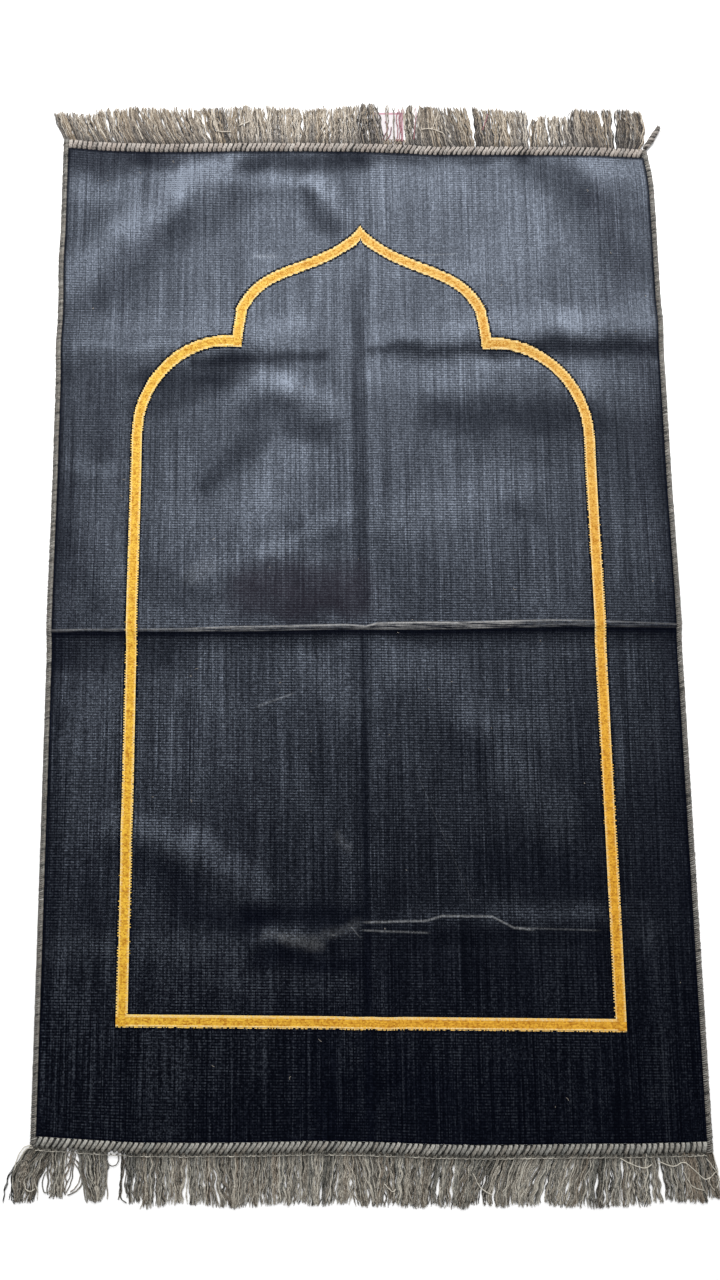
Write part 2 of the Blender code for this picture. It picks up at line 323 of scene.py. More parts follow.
MID_FOLD_ACROSS = (-343, -300, -200, -110, -60, -20, 60, 100, 150, 200, 240, 343)
MID_FOLD_ALONG = (-27.2, -26.0, -25.0, -23.6, -21.9, -21.0, -20.6, -19.4, -17.6, -16.5, -15.8, -15.6)


def nearness(fold, across, along):
    """1 on a fold's line, 0 from its half width outwards."""
    run = np.array([fold.across_to - fold.across_from, fold.along_to - fold.along_from], float)
    from_start = np.stack(np.broadcast_arrays(across - fold.across_from, along - fold.along_from), axis=-1)
    share = np.clip(from_start @ run / (run @ run), 0, 1)
    away = np.linalg.norm(from_start - share[..., None] * run, axis=-1)
    return np.clip(1 - away / fold.half_width, 0, 1)


def mid_fold_line(across):
    return np.interp(across, MID_FOLD_ACROSS, MID_FOLD_ALONG)


def smooth(value):
    value = np.clip(value, 0, 1)
    return value * value * (3 - 2 * value)


def rise(across, along):
    """How high the cloth's underside lies over the floor, in millimetres."""
    out = along - mid_fold_line(across)
    near_slope = np.clip(1 + (out - MID_FOLD_ROUND) / MID_FOLD_NEAR, 0, 1) ** MID_FOLD_POWER
    far_slope = smooth(1 - out / MID_FOLD_FAR)
    total = (MID_FOLD_HEIGHT * np.where(out < MID_FOLD_ROUND, near_slope, far_slope)) ** FOLD_BLEND
    for fold in FOLDS:
        total = total + (fold.height * np.sin(nearness(fold, across, along) * math.pi / 2) ** 2) ** FOLD_BLEND
    return total ** (1 / FOLD_BLEND) * smooth((CLOTH_HALF_LENGTH - np.abs(along)) / END_EASE)


print("highest fold:", round(float(rise(np.array([0.0, 16.0]), np.array([-19.0, -19.0])).max()), 1), "mm")

# %% [markdown]
# ## The pile sheet
#
# The cloth is one sheet, 3 mm thick, so its mesh is a fine grid for the pile side, the same grid below it for the
# back, and a strip round the rim. The rows stand closer together at the sharp fold. A UV map that runs from 0 to 1
# over the cloth lets the weave follow it, and point attributes carry what the folds did to the pile: `nap` says how
# far it lies towards the light, with painted light and shade in it, `dust` where it is worn pale, `soil` where it
# is brownish.

# %% Rows and columns of the sheet
COLUMNS = 166
ROW_PITCH = 4.35
FOLD_MIDDLE = -20.0
FOLD_STEPS = np.arange(-13.5, 20.1, 1.5)  # the close rows at the fold


def sheet_rows():
    """Places along the cloth: even rows, with close rows at the middle fold."""
    close = FOLD_MIDDLE + FOLD_STEPS
    count_near = round((close[0] + CLOTH_HALF_LENGTH) / ROW_PITCH)
    count_far = round((CLOTH_HALF_LENGTH - close[-1]) / ROW_PITCH)
    near = np.linspace(-CLOTH_HALF_LENGTH, close[0], count_near, endpoint=False)
    far = np.linspace(CLOTH_HALF_LENGTH, close[-1], count_far, endpoint=False)[::-1]
    return np.concatenate([near, close, far])


rows = sheet_rows()
columns = np.linspace(-CLOTH_HALF_WIDTH, CLOTH_HALF_WIDTH, COLUMNS)
print(len(rows), "rows and", len(columns), "columns")

# %% [markdown]
# ### What the folds did to the pile
#
# Brushed one way, a pile catches the light; brushed the other way it swallows it. The marks are partly such
# differences of nap and partly painted light and shade, where the folds and creases face the light or turn from it.
# They are listed like the folds: a line, a half width, and how much lighter (plus) or darker (minus) the pile lies
# there. No mark on cloth has a ruled edge, so the lines wander: `wander` is a smooth random shift made of a few
# waves in random directions. The pile is also painted darker towards the near end: painted shade, where the far
# light's gloss falls off.

# %% The marks in the nap, with painted light and shade
Mark = namedtuple("Mark", "across_from along_from across_to along_to half_width strength")
# The marks hold nap and painted light and shade of the folds and creases.
NAP_AND_SHADE_MARKS = [Mark(*row) for row in (
    # far end, left to right
    (-350, 530, -250, 535, 30, -1.1), (-250, 534, -165, 546, 18, -0.9), (-130, 525, 0, 532, 19, -1.3),
    (0, 535, 190, 540, 12, -0.9), (-330, 375, -262, 450, 40, 0.45), (-262, 450, -205, 500, 30, 0.45),
    (-215, 502, -140, 524, 20, 0.65), (-345, 490, -270, 490, 22, 0.30), (-290, 366, -212, 440, 34, -0.50),
    (-212, 440, -120, 494, 28, -0.55), (-340, 345, -300, 352, 14, -0.20), (-125, 503, -50, 510, 15, 0.50),
    (-50, 506, -20, 470, 15, 0.45), (-60, 488, -36, 446, 17, -0.95), (-20, 530, -16, 460, 15, -0.50),
    (200, 528, 262, 492, 30, -0.70), (262, 492, 350, 458, 22, -0.28), (262, 532, 320, 522, 18, 0.35),
    (256, 470, 312, 402, 36, -0.55), (150, 400, 235, 462, 50, 0.25), (30, 500, 110, 505, 26, 0.15),
    (310, 372, 330, 360, 32, 0.25), (-120, 412, -95, 411, 7, 0.30),
    # shoulders
    (-300, 322, -150, 322, 28, 0.30), (-320, 299, -190, 298, 9, 0.55), (-110, 316, -72, 328, 22, 0.45),
    (-350, 276, -235, 268, 24, -0.35), (-235, 262, -130, 276, 19, -1.05), (-190, 284, -40, 291, 9, -1.15),
    (-244, 228, -165, 256, 20, -0.75), (20, 318, 110, 320, 18, 0.30), (130, 330, 230, 334, 24, 0.45),
    (230, 336, 340, 330, 22, 0.50), (10, 300, 150, 298, 8, -0.90), (160, 303, 350, 303, 13, -1.15),
    (20, 272, 120, 262, 26, 0.35), (130, 284, 220, 280, 14, 0.40), (250, 262, 330, 250, 34, 0.45),
    (95, 224, 250, 222, 30, -1.15), (-130, 254, -85, 262, 17, 0.50), (-85, 260, -36, 232, 18, 0.55),
    (-118, 226, -80, 228, 18, -0.60), (-75, 204, -45, 204, 18, -0.75), (-320, 120, 100, 118, 24, 0.12),
    (-75, 0, -25, 4, 18, -0.38), (-70, 84, -28, 80, 15, -0.25), (-58, -440, -36, -530, 42, -0.50),
    (45, -484, 120, -478, 34, -0.42),
    # margins
    (-335, 260, -330, 160, 24, -0.28), (-290, 240, -285, 180, 24, -0.30), (-338, 130, -338, -60, 26, -0.75),
    (-305, 30, -290, 10, 20, -0.40), (-320, 158, -258, 158, 12, 0.40), (-290, 100, -265, 40, 22, 0.35),
    (-322, 100, -322, 60, 14, -0.30), (306, 235, 306, 150, 50, -0.40), (338, 260, 340, -330, 22, -0.70),
    (305, -190, 300, -300, 34, -0.35), (-336, -60, -336, -330, 20, -0.65), (-300, -265, -290, -330, 30, -0.45),
    # left of the middle
    (-165, 70, -120, 130, 40, 0.22), (-110, 135, -40, 160, 34, 0.15), (-105, 66, -20, 106, 15, 0.60),
    (-172, 40, -150, 52, 24, 0.45), (-240, 138, -170, 136, 14, -0.12), (-170, 138, -112, 200, 16, -0.55),
    (-118, 26, -20, 22, 34, -1.05), (-130, -4, -20, 2, 12, -0.45), (-230, 30, -195, 20, 26, -0.30),
    (-230, -10, -150, -10, 16, 0.25), (-90, 175, -60, 175, 30, 0.30),
    # right of the middle
    (40, 100, 110, 122, 30, 0.25), (-300, 165, -290, 155, 22, 0.25), (-205, 168, -205, 90, 28, 0.36),
    (-110, 125, -110, 62, 28, 0.22), (-320, 282, -180, 280, 13, 0.30), (300, 285, 330, 278, 16, -0.25),
    (-110, 398, 130, 398, 18, 0.16), (120, 140, 170, 150, 34, 0.30), (168, 118, 188, 108, 16, -0.35),
    (15, 60, 80, 30, 40, -0.20),
    # below the middle fold
    (-350, -50, -210, -48, 24, -0.75), (-60, -62, -10, -92, 36, 0.40), (-190, -84, -130, -116, 18, 0.30),
    (28, -56, 80, -64, 30, 0.35), (115, -112, 170, -118, 24, 0.45), (196, 10, 205, -130, 32, 0.26),
    (-298, -110, -298, -255, 30, 0.33), (-298, -320, -298, -560, 32, 0.28), (-200, -345, -200, -560, 38, 0.34),
    (195, -355, 195, -480, 28, 0.26), (296, -430, 296, -490, 24, 0.28), (296, -312, 296, -328, 20, 0.30),
    (-40, -500, -40, -560, 18, -0.30), (-40, -110, -40, -540, 18, -0.22), (100, -140, 128, -156, 24, -0.60),
    (150, -165, 205, -222, 28, 0.60), (226, -60, 236, -230, 18, -0.45), (-225, -160, -120, -164, 26, 0.15),
    (-255, -232, -185, -250, 24, 0.65), (-185, -250, -118, -302, 26, 0.70), (-245, -262, -195, -292, 28, -0.70),
    (-195, -318, -120, -326, 18, -0.75), (-120, -322, -20, -322, 16, -1.25), (-60, -200, -20, -250, 26, 0.20),
    (120, -262, 235, -282, 30, -0.65), (60, -165, 108, -300, 10, 0.30), (130, -318, 240, -318, 16, 0.55),
    # near the bar
    (-230, -352, -120, -362, 20, 0.65), (-330, -358, -262, -358, 16, 0.50), (-160, -386, -25, -392, 16, 0.65),
    (-112, -364, -12, -372, 11, -1.00), (-100, -344, -20, -340, 12, 0.50), (20, -375, 230, -365, 40, -0.20),
    (-300, -345, -262, -352, 16, 0.50), (-190, -470, -130, -470, 34, 0.45), (-240, -450, -215, -530, 40, 0.35),
    (20, -480, 110, -540, 40, -0.35), (60, -452, 200, -456, 20, 0.15), (270, -320, 285, -335, 22, 0.50),
    # the centre crease
    (-6, 440, -4, 205, 12, -0.25), (-2, -30, -3, -560, 10, -0.20),
)]
print(len(NAP_AND_SHADE_MARKS), "marks in the nap")

# %% [markdown]
# The marks add up, and each fades out from its line.

# %% Lines drawn by an unsteady hand
MARK_SOFT = 1.25  # a mark fades out this much beyond its half width


def wander(across, along, size, amount, seed):
    """A smooth random shift, in millimetres, from a few waves about as long as size."""
    total = 0.0
    draws = np.random.default_rng(seed).uniform(0, 1, (7, 3))
    for turn, phase, stretch in draws:
        course = across * math.cos(2 * math.pi * turn) + along * math.sin(2 * math.pi * turn)
        total = total + np.sin(2 * math.pi * (course / (size * (0.6 + stretch)) + phase))
    return total * amount / math.sqrt(len(draws) / 2)


def mark_total(marks, across, along):
    """The sum of the marks, with every line drawn by an unsteady hand."""
    shifted = across + wander(across, along, 62, 2.6, 1) + wander(across, along, 17, 0.9, 2)
    raised = along + wander(across, along, 54, 2.2, 3) + wander(across, along, 15, 0.8, 4)
    total = np.zeros(np.broadcast(across, along).shape)
    for mark in marks:
        near = nearness(mark._replace(half_width=MARK_SOFT * mark.half_width), shifted, raised)
        total = total + mark.strength * (near * (2 - near)) ** 2
    return total


print("a mark fades out at", MARK_SOFT, "times its half width")

# %% [markdown]
# Three attributes come from the marks. The nap multiplies a value that falls towards the near end, a painted shade,
# and the dust and the soil are sums.

# %% Where the pile is worn pale or soiled
# Painted shade: the pile is darker towards the near end, where the far light's gloss falls off.
PAINTED_SHADE_ALONG = ((-541, 0.080), (-430, 0.110), (-330, 0.160), (-250, 0.195), (-150, 0.245), (0, 0.265), (200, 0.290),
             (330, 0.340), (440, 0.370), (541, 0.400))
DUST_MARKS = [Mark(*row) for row in (
    (-104, -341, -88, -344, 5, 0.16), (-86, -346, -48, -346, 7, 0.24), (-40, -338, -18, -332, 6, 0.13),
    (-185, 36, -170, 46, 12, 0.10), (-30, -238, -18, -250, 5, 0.14),
)]
SOIL_MARKS = (Mark(-115, 22, -18, 22, 44, 1.0),)

across_grid, along_grid = np.meshgrid(columns, rows)
nap_and_shade_values = np.interp(along_grid, *zip(*PAINTED_SHADE_ALONG)) * np.exp(mark_total(NAP_AND_SHADE_MARKS, across_grid, along_grid))
dust_values = mark_total(DUST_MARKS, across_grid, along_grid)
soil_values = mark_total(SOIL_MARKS, across_grid, along_grid)
print("nap from", round(float(nap_and_shade_values.min()), 2), "to", round(float(nap_and_shade_values.max()), 2))

# %% [markdown]
# ### Building the mesh
#
# The grid's points and faces are worked out as arrays. Faces turn anticlockwise seen from outside, so the back's
# faces are the front's, reversed.

# %% The grid of a sheet


def grid_faces(row_count, column_count):
    """The four corners of each face of a grid of points, anticlockwise from above."""
    first = np.arange(row_count - 1)[:, None] * column_count + np.arange(column_count - 1)[None, :]
    corners = (first, first + 1, first + column_count + 1, first + column_count)
    return np.stack([corner.ravel() for corner in corners], axis=1)


def rim_of_grid(row_count, column_count):
    """The grid's outer points, anticlockwise from above."""
    near = np.arange(column_count)
    right = np.arange(1, row_count) * column_count + column_count - 1
    far = row_count * column_count - 2 - np.arange(column_count - 1)
    left = np.arange(row_count - 2, 0, -1) * column_count
    return np.concatenate([near, right, far, left])


print("faces on the pile side:", len(grid_faces(len(rows), len(columns))))

# %% [markdown]
# The same shell serves for the cloth and, further on, for the label: a front, a back and a wall round the rim.

# %% A shell, and the sheet of the cloth


def new_piece(name, points, faces, material, sharp=None):
    """A mesh object. Where sharp is given, it is shaded smooth but for edges sharper than that, in degrees."""
    mesh = bpy.data.meshes.new(name)
    mesh.from_pydata(points.tolist(), [], faces)
    mesh.materials.append(material)
    if sharp:
        mesh.shade_smooth()
        mesh.set_sharp_from_angle(angle=math.radians(sharp))
    return add_object(name, mesh)


def keep_values(mesh, **values):
    """Store an array of numbers on a mesh's points, under each name."""
    for name, numbers in values.items():
        made = mesh.attributes.new(name, "FLOAT", "POINT")
        made.data.foreach_set("value", np.asarray(numbers, np.float32).ravel())


def make_shell(name, material, loom, heights, uv_name, uv, sharp):
    """A thin sheet over a grid on the loom, between two heights, with a wall round its rim."""
    across, along = loom
    points = np.concatenate([place(across, along, height).reshape(-1, 3) for height in heights])
    total = across.size
    faces = grid_faces(*across.shape)
    rim = rim_of_grid(*across.shape)
    after = np.roll(rim, -1)
    wall = np.stack([rim + total, after + total, after, rim], axis=1)
    every_face = np.concatenate([faces, faces[:, ::-1] + total, wall])
    piece = new_piece(name, points, every_face.tolist(), material, sharp)
    corner_points = np.empty(len(piece.data.loops), np.int32)
    piece.data.loops.foreach_get("vertex_index", corner_points)
    both = np.tile(np.stack(uv, axis=-1).reshape(-1, 2), (2, 1)).astype(np.float32)
    piece.data.uv_layers.new(name=uv_name).data.foreach_set("uv", both[corner_points].ravel())
    return piece


def make_sheet(name, material):
    loom = (across_grid, along_grid)
    lift = rise(*loom)
    woven = (across_grid / CLOTH_HALF_WIDTH / 2 + 0.5, along_grid / CLOTH_HALF_LENGTH / 2 + 0.5)
    piece = make_shell(name, material, loom, (lift + CLOTH_THICK, lift), "Woven", woven, 50)
    values = {"nap": nap_and_shade_values, "dust": dust_values, "soil": soil_values}
    keep_values(piece.data, **{key: np.tile(value.ravel(), 2) for key, value in values.items()})
    return piece


highest = float(rise(across_grid, along_grid).max()) + CLOTH_THICK
print("the pile reaches", round(highest, 1), "mm over the floor")

# %% [markdown]
# ## The woven arch line
#
# The gold line is woven, not printed: where it runs, the loom lifts gold pile instead of navy. Its edge therefore
# steps from tuft to tuft. The shader works out how far each tuft is from the middle of the line, from five simple
# forms: the straight sides, the bar at the near end, two round shoulders, two short risers, and the pointed lobe.
# The least of the five distances is the distance to the line.

# %% The arch as a distance
ARCH_MIDDLE = 1.7
ARCH_HALF_LINE = 5.7
ARCH_SHADE_WIDTH = 2.2
ARCH_SIDE = 254.7
ARCH_SIDE_LEAN = 0.0051
ARCH_BAR = -426.8
SHOULDER_ALONG = 200.0
SHOULDER_ACROSS = 150.0
SHOULDER_WIDE = 101.0
SHOULDER_LONG = 107.0
RISER_TOP = 345.0
RISER_ACROSS = 135.5
RISER_SLOPE = 0.136
LOBE_TIP = 443.0
LOBE_FALL = 3.5
LOBE_POWER = 0.6
LOBE_DROP = 31.0
LOBE_DROP_POWER = 8.0
ELSEWHERE = 1000.0  # added to a form's distance beyond the stretch where it is woven


def arch_distance(x, y):
    side = abs(x - ARCH_MIDDLE)
    shoulder_low = SHOULDER_ALONG + SHOULDER_LONG - ARCH_HALF_LINE
    upright = abs(side - ARCH_SIDE + (y - ARCH_BAR) * ARCH_SIDE_LEAN)
    upright = upright + ELSEWHERE * (y.above(SHOULDER_ALONG) + y.below(ARCH_BAR - ARCH_HALF_LINE))
    bar = abs(y - ARCH_BAR) + ELSEWHERE * side.above(ARCH_SIDE + ARCH_HALF_LINE)
    wide = (side - SHOULDER_ACROSS) / SHOULDER_WIDE
    long = (y - SHOULDER_ALONG) / SHOULDER_LONG
    round_off = abs((wide * wide + long * long) ** 0.5 - 1.0) * ((SHOULDER_WIDE + SHOULDER_LONG) / 2)
    inner_edge = RISER_ACROSS + (RISER_TOP - shoulder_low) * RISER_SLOPE - ARCH_HALF_LINE
    shoulder = round_off + ELSEWHERE * (y.below(SHOULDER_ALONG) + side.below(inner_edge))
    riser = abs(side - RISER_ACROSS - (RISER_TOP - y) * RISER_SLOPE)
    riser = riser + ELSEWHERE * (y.above(RISER_TOP) + y.below(shoulder_low))
    run = side.maths("MAXIMUM", 0.01)
    falls = run**LOBE_POWER * LOBE_FALL + (run / RISER_ACROSS) ** LOBE_DROP_POWER * LOBE_DROP
    steep = side.maths("MAXIMUM", 6.0)
    slope = steep ** (LOBE_POWER - 1) * (LOBE_FALL * LOBE_POWER)
    drop_slope = LOBE_DROP * LOBE_DROP_POWER / RISER_ACROSS
    slope = slope + (steep / RISER_ACROSS) ** (LOBE_DROP_POWER - 1) * drop_slope
    lobe = abs(y - LOBE_TIP + falls) / (slope * slope + 1.0) ** 0.5 + ELSEWHERE * y.below(RISER_TOP)
    nearest = upright.maths("MINIMUM", bar).maths("MINIMUM", shoulder)
    return nearest.maths("MINIMUM", riser).maths("MINIMUM", lobe)


print("the gold line is", 2 * ARCH_HALF_LINE, "mm wide, and", 2 * ARCH_SIDE, "mm lie between its sides")

# %% [markdown]
# ## The velvet
#
# Seen along its nap, velvet is nearly black. Seen against the light it shines in a broad, soft lobe. Two shaders
# stand for that: pile that lies towards the light, with a strong broad gloss, and pile that stands or leans away,
# with hardly any. A Mix Shader joins them, and its factor carries everything that varies: the nap marks, the long
# streaks of the warp, the rows of the weft, the single tufts, and painted shade under the middle fold, beside the
# stitches, in the centre crease and beside the gold line. They multiply, so the texture is summed as an exponent.
# The gold pile is a third shader, kept duller.

# %% The velvet's colours and sizes
ROW_STEP = 2.9
TUFT_ACROSS = 1.35
TUFT_ALONG = 1.45
PILE_DEEP = colour(0.0003, 0.0006, 0.0024)
PILE_LIT = colour(0.0040, 0.0050, 0.0080)
PILE_SHADED = colour(0.0012, 0.0019, 0.0062)
PILE_TINT = colour(0.72, 0.82, 1.0)
DUST_GREY = colour(0.155, 0.158, 0.160)
WORN_GREY = colour(0.280, 0.275, 0.268)
SOIL_BROWN = colour(0.018, 0.015, 0.020)
SOIL_SHADED = colour(0.0088, 0.0064, 0.0108)
GOLD = colour(0.62, 0.325, 0.028)
GOLD_DEEP = colour(0.34, 0.130, 0.006)
GOLD_LEFT_SHEEN = colour(0.66, 0.43, 0.045)
GOLD_EDGE_HIGHLIGHT = colour(0.78, 0.65, 0.35)
GOLD_FAR_SHEEN = colour(0.51, 0.365, 0.135)
print("rows of the weft every", ROW_STEP, "mm")

# %% [markdown]
# ### Thin worn lines and painted highlights
#
# The middle fold is worn pale, and a few creases are pale lines too, partly worn and partly painted highlights on
# their ridges, all finer than the mesh. They are drawn in the shader from tables of points: `path` gives the height
# of such a line at any `x`, as a sum of clamped slopes.

# %% The worn lines and painted highlights
Crease = namedtuple("Crease", "half_width strength points")
WORN_AND_LIT_CREASES = (
    Crease(1.9, 0.55, ((-4, -327), (60, -325), (76, -320), (128, -320), (150, -331), (170, -333))),
    Crease(1.6, 0.42, ((-6, -335), (62, -337))),
    Crease(1.5, 0.22, ((150, -331), (238, -333))),
    Crease(1.5, 0.34, ((58, 413), (112, 416))),
    Crease(3.5, 0.26, ((-121, 411), (-94, 411))),
    Crease(2.4, 0.24, ((-116, -105), (-76, -90))),
    Crease(1.2, 0.16, ((50, -165), (110, -310))),
    Crease(1.6, 0.45, ((-19, -330), (-9, -342))),
    Crease(1.2, 0.40, ((-40, -340), (-34, -340))),
)
WORN_WIDTH = ((-345, 2.8), (-260, 3.0), (-190, 3.6), (-150, 5.4), (-20, 5.8), (2, 4.2), (14, 7.8), (60, 8.6),
              (105, 7.6), (150, 7.7), (200, 8.4), (262, 7.0), (343, 4.0))
WORN_SHARE = ((-345, 0.30), (-262, 0.36), (-200, 0.40), (-172, 0.75), (-100, 0.62), (-24, 0.70), (0, 1.0),
              (30, 0.95), (160, 1.0), (175, 0.62), (250, 0.42), (264, 0.30), (345, 0.22))
RIB_STEP = 1.9


def path(x, points):
    """The line through points, as nodes: its value at x."""
    total = points[0][1]
    for (start, low), (stop, high) in zip(points, points[1:]):
        values = {"Value": x, "From Min": start, "From Max": stop, "To Min": 0.0, "To Max": high - low}
        total = x.graph.node("ShaderNodeMapRange", None, values) + total
    return total


def crease_mask(x, y, crease):
    """A crease's strength on its line, fading over its half width and at both ends."""
    first, last = crease.points[0][0], crease.points[-1][0]
    inside = x.ease(first - 4, first + 6) * x.ease(last + 4, last - 6)
    return abs(y - path(x, crease.points)).ease(crease.half_width, 0.0) * inside * crease.strength


print(len(WORN_AND_LIT_CREASES), "creases, and the middle fold")

# %% [markdown]
# The middle fold is the strongest of them, with ribs across its worn band. The lengthwise crease gets painted
# shade, with a painted highlight beside it, and the pile along the stitches gets a painted shadow.

# %% The middle fold, the centre crease and the edges
CENTRE_END = 430.0  # where the lengthwise crease fades out, far end
EDGE_SHADE_SIDE = 4.2  # how far the painted shadow reaches in from the stitches
EDGE_SHADE_END = 4.6


def fold_band(x, y):
    """How far a point is beyond the middle fold, how wide the worn band is there, and 1 on the band."""
    out = y - path(x, tuple(zip(MID_FOLD_ACROSS, MID_FOLD_ALONG)))
    width = path(x, WORN_WIDTH)
    return out, width, out.ease(-0.6, 0.6) * (width - out).ease(-0.4, 0.8)


def fold_wear(x, y, stripes, patches):
    """The pale band on the middle fold: a bright rim, and grey ribs of which some are worn away."""
    out, width, band = fold_band(x, y)
    ribs = (out * (2 * math.pi / RIB_STEP)).maths("SINE")
    far_rim = abs(width - out - 0.8).ease(1.4, 0.3) * (patches * 1.2 + 0.15)
    worn = band * ((stripes - 0.5) * 2.4 + ribs * 0.08 + patches * 0.40 + 0.02) + far_rim
    return worn * path(x, WORN_SHARE)


def fold_shade(x, y):
    """The pile is gone on the worn band and stands in shadow just below it: 1 there, 0 away from it."""
    out, _, band = fold_band(x, y)
    worn = band * path(x, WORN_SHARE)
    return (out.ease(0.6, -0.6) * out.ease(-9.0, -2.0)).maths("MAXIMUM", worn * 0.9)


def centre_crease_shading(x, y):
    """The lengthwise crease: painted shade along the middle, with a painted highlight beside it above the middle
    fold.
    """
    above = y.ease(-12.0, 5.0) * y.ease(CENTRE_END, CENTRE_END - 100.0)
    narrow = abs(x + 1.0).ease(5.5, 1.5) * y.ease(-20.0, -40.0)
    broad = abs(x + 1.5).ease(9.5, 5.0) * above
    pale = abs(x - 10.5).ease(5.0, 2.0) + abs(x + 18.0).ease(8.0, 3.0) * 0.7
    return 1 - narrow * 0.58 - broad * 0.40 + pale * above * 0.26


def edge_shade(x, y):
    """Painted shadow: the pile beside the stitches is darkened, where they shade it."""
    beside = (abs(x) - (CLOTH_HALF_WIDTH - EDGE_SHADE_SIDE)).ease(0.0, 3.0)
    return beside.maths("MAXIMUM", (abs(y) - (CLOTH_HALF_LENGTH - EDGE_SHADE_END)).ease(0.0, 4.0))


print("a rib of the worn fold every", RIB_STEP, "mm")

# %% [markdown]
# ### The weave
#
# The UV map is turned back into millimetres on the loom. Each noise is stretched over its own number of
# millimetres across and along: long streaks follow the warp, short dashes the weft.

# %% The weave of the velvet
Weave = namedtuple("Weave", "x y tuft tuft_x tuft_y row fine cloudy mottle dashes threads texture")


def weave_on(finish):
    """Where a point lies on the loom, in millimetres, and the noises of the weave there."""
    x, y = finish.split(finish.node("ShaderNodeUVMap", {"uv_map": "Woven"}))
    x = (x - 0.5) * (2 * CLOTH_HALF_WIDTH)
    y = (y - 0.5) * (2 * CLOTH_HALF_LENGTH)

    def cells(wide, long, shift=0.0, detail=2.0, rough=0.5):
        return finish.noise(finish.point(x / wide, y / long, shift), detail, rough)

    tuft_x = (x / TUFT_ACROSS).maths("FLOOR")
    tuft_y = (y / TUFT_ALONG).maths("FLOOR")
    tuft = finish.node("ShaderNodeTexWhiteNoise", {"noise_dimensions": "2D"}, {0: finish.point(tuft_x, tuft_y)})
    row = (y * (2 * math.pi / ROW_STEP)).maths("SINE")
    fine = cells(1.5, 105.0)
    narrow = cells(5.0, 240.0, 4.0, 3.0)
    broad = cells(40.0, 420.0, 9.0)
    cloudy = cells(38.0, 28.0, 2.0, 4.0, 0.6)
    mottle = cells(8.0, 7.0, 5.0, rough=0.6)
    dashes = cells(5.0, 1.5, 7.0, 1.0)
    threads = cells(34.0, 1.9, 14.0, rough=0.7)
    missed = cells(1.5, 330.0, 21.0, 1.0).ease(0.57, 0.70)
    proud = cells(1.4, 210.0, 31.0, 1.0).ease(0.60, 0.74)
    ribbed = cells(60.0, 75.0, 12.0).ease(0.40, 0.62)

    warp = (fine - 0.5) * 1.9 + (narrow - 0.5) * 1.0 + (broad - 0.5) * 0.55 + (proud - missed) * 0.42
    weft = (dashes - 0.5) * 0.8 + row * (ribbed * 0.24 + 0.08)
    texture = warp + weft + (cloudy - 0.5) * 0.45 + (mottle - 0.5) * 0.45 + (tuft - 0.5) * 0.75
    texture = texture * (y.ease(300.0, -480.0) * 1.15 + y.ease(-330.0, -460.0) * 1.3 + 1.0)
    return Weave(x, y, tuft, tuft_x, tuft_y, row, fine, cloudy, mottle, dashes, threads, texture)


print("a tuft is", TUFT_ACROSS, "x", TUFT_ALONG, "mm")

# %% [markdown]
# ### The navy pile
#
# Lit and shaded pile have the same grain, dust and soil. The worn fold shows only where the pile is gone.

# %% The navy pile


def pile_colour(finish, weave, hue, dust, soil, soiled):
    """Navy that varies with the grain, browner where it is soiled and grey where it is dusty."""
    grain = (weave.texture * 0.45 + 0.45).clamped()
    made = finish.mix_colour(grain, PILE_DEEP, hue)
    made = finish.mix_colour(soil, made, soiled)
    return finish.mix_colour(dust, made, DUST_GREY)


def navy_pile(finish, weave, beside_gold_shade, bump):
    x, y, tuft = weave.x, weave.y, weave.tuft
    dust = finish.attribute("dust") * (weave.fine + tuft * 0.5 + 0.1)
    speckled = weave.fine * 1.3 + tuft * 0.7
    # The creases add to the dust mix: partly wear, partly painted highlights on their ridges.
    for crease in WORN_AND_LIT_CREASES:
        dust = dust + crease_mask(x, y, crease) * speckled
    dust = (dust * (tuft * 0.5 + 0.75)).clamped()
    soil = finish.attribute("soil").ease(0.0, 1.0) * (weave.cloudy + 0.3)
    worn = (fold_wear(x, y, weave.threads, weave.mottle) * (tuft * 0.5 + 0.7)).clamped()
    lit_colour = pile_colour(finish, weave, PILE_LIT, dust, soil, SOIL_BROWN)
    shaded_colour = pile_colour(finish, weave, PILE_SHADED, dust, soil, SOIL_SHADED)
    shaded_colour = finish.mix_colour(worn, shaded_colour, WORN_GREY)

    gloss = {"Specular_Tint": PILE_TINT, "Normal": bump}
    lit = finish.surface(Base_Color=lit_colour, Roughness=0.47, IOR=1.8, Specular_IOR_Level=1.0, **gloss)
    shaded = finish.surface(Base_Color=shaded_colour, Roughness=0.75, Specular_IOR_Level=0.05, **gloss)

    # Painted shade: dark under the middle fold and beside the stitches, and in the centre crease with a painted
    # highlight beside it.
    dark = fold_shade(x, y).maths("MAXIMUM", edge_shade(x, y))
    nap = finish.attribute("nap") * weave.texture.maths("EXPONENT") * (1 - dark * 0.88) * centre_crease_shading(x, y)
    return finish.mix_shaders(nap.clamped() * (1 - beside_gold_shade * 0.92), shaded, lit)


print("the navy pile takes its dust from", len(WORN_AND_LIT_CREASES), "creases and the dust attribute")

# %% [markdown]
# ### The gold pile, and the whole cloth
#
# The gold line takes over wherever a tuft's middle is near enough to the arch. Just beside it the navy pile stands
# in its shade.

# %% The gold pile


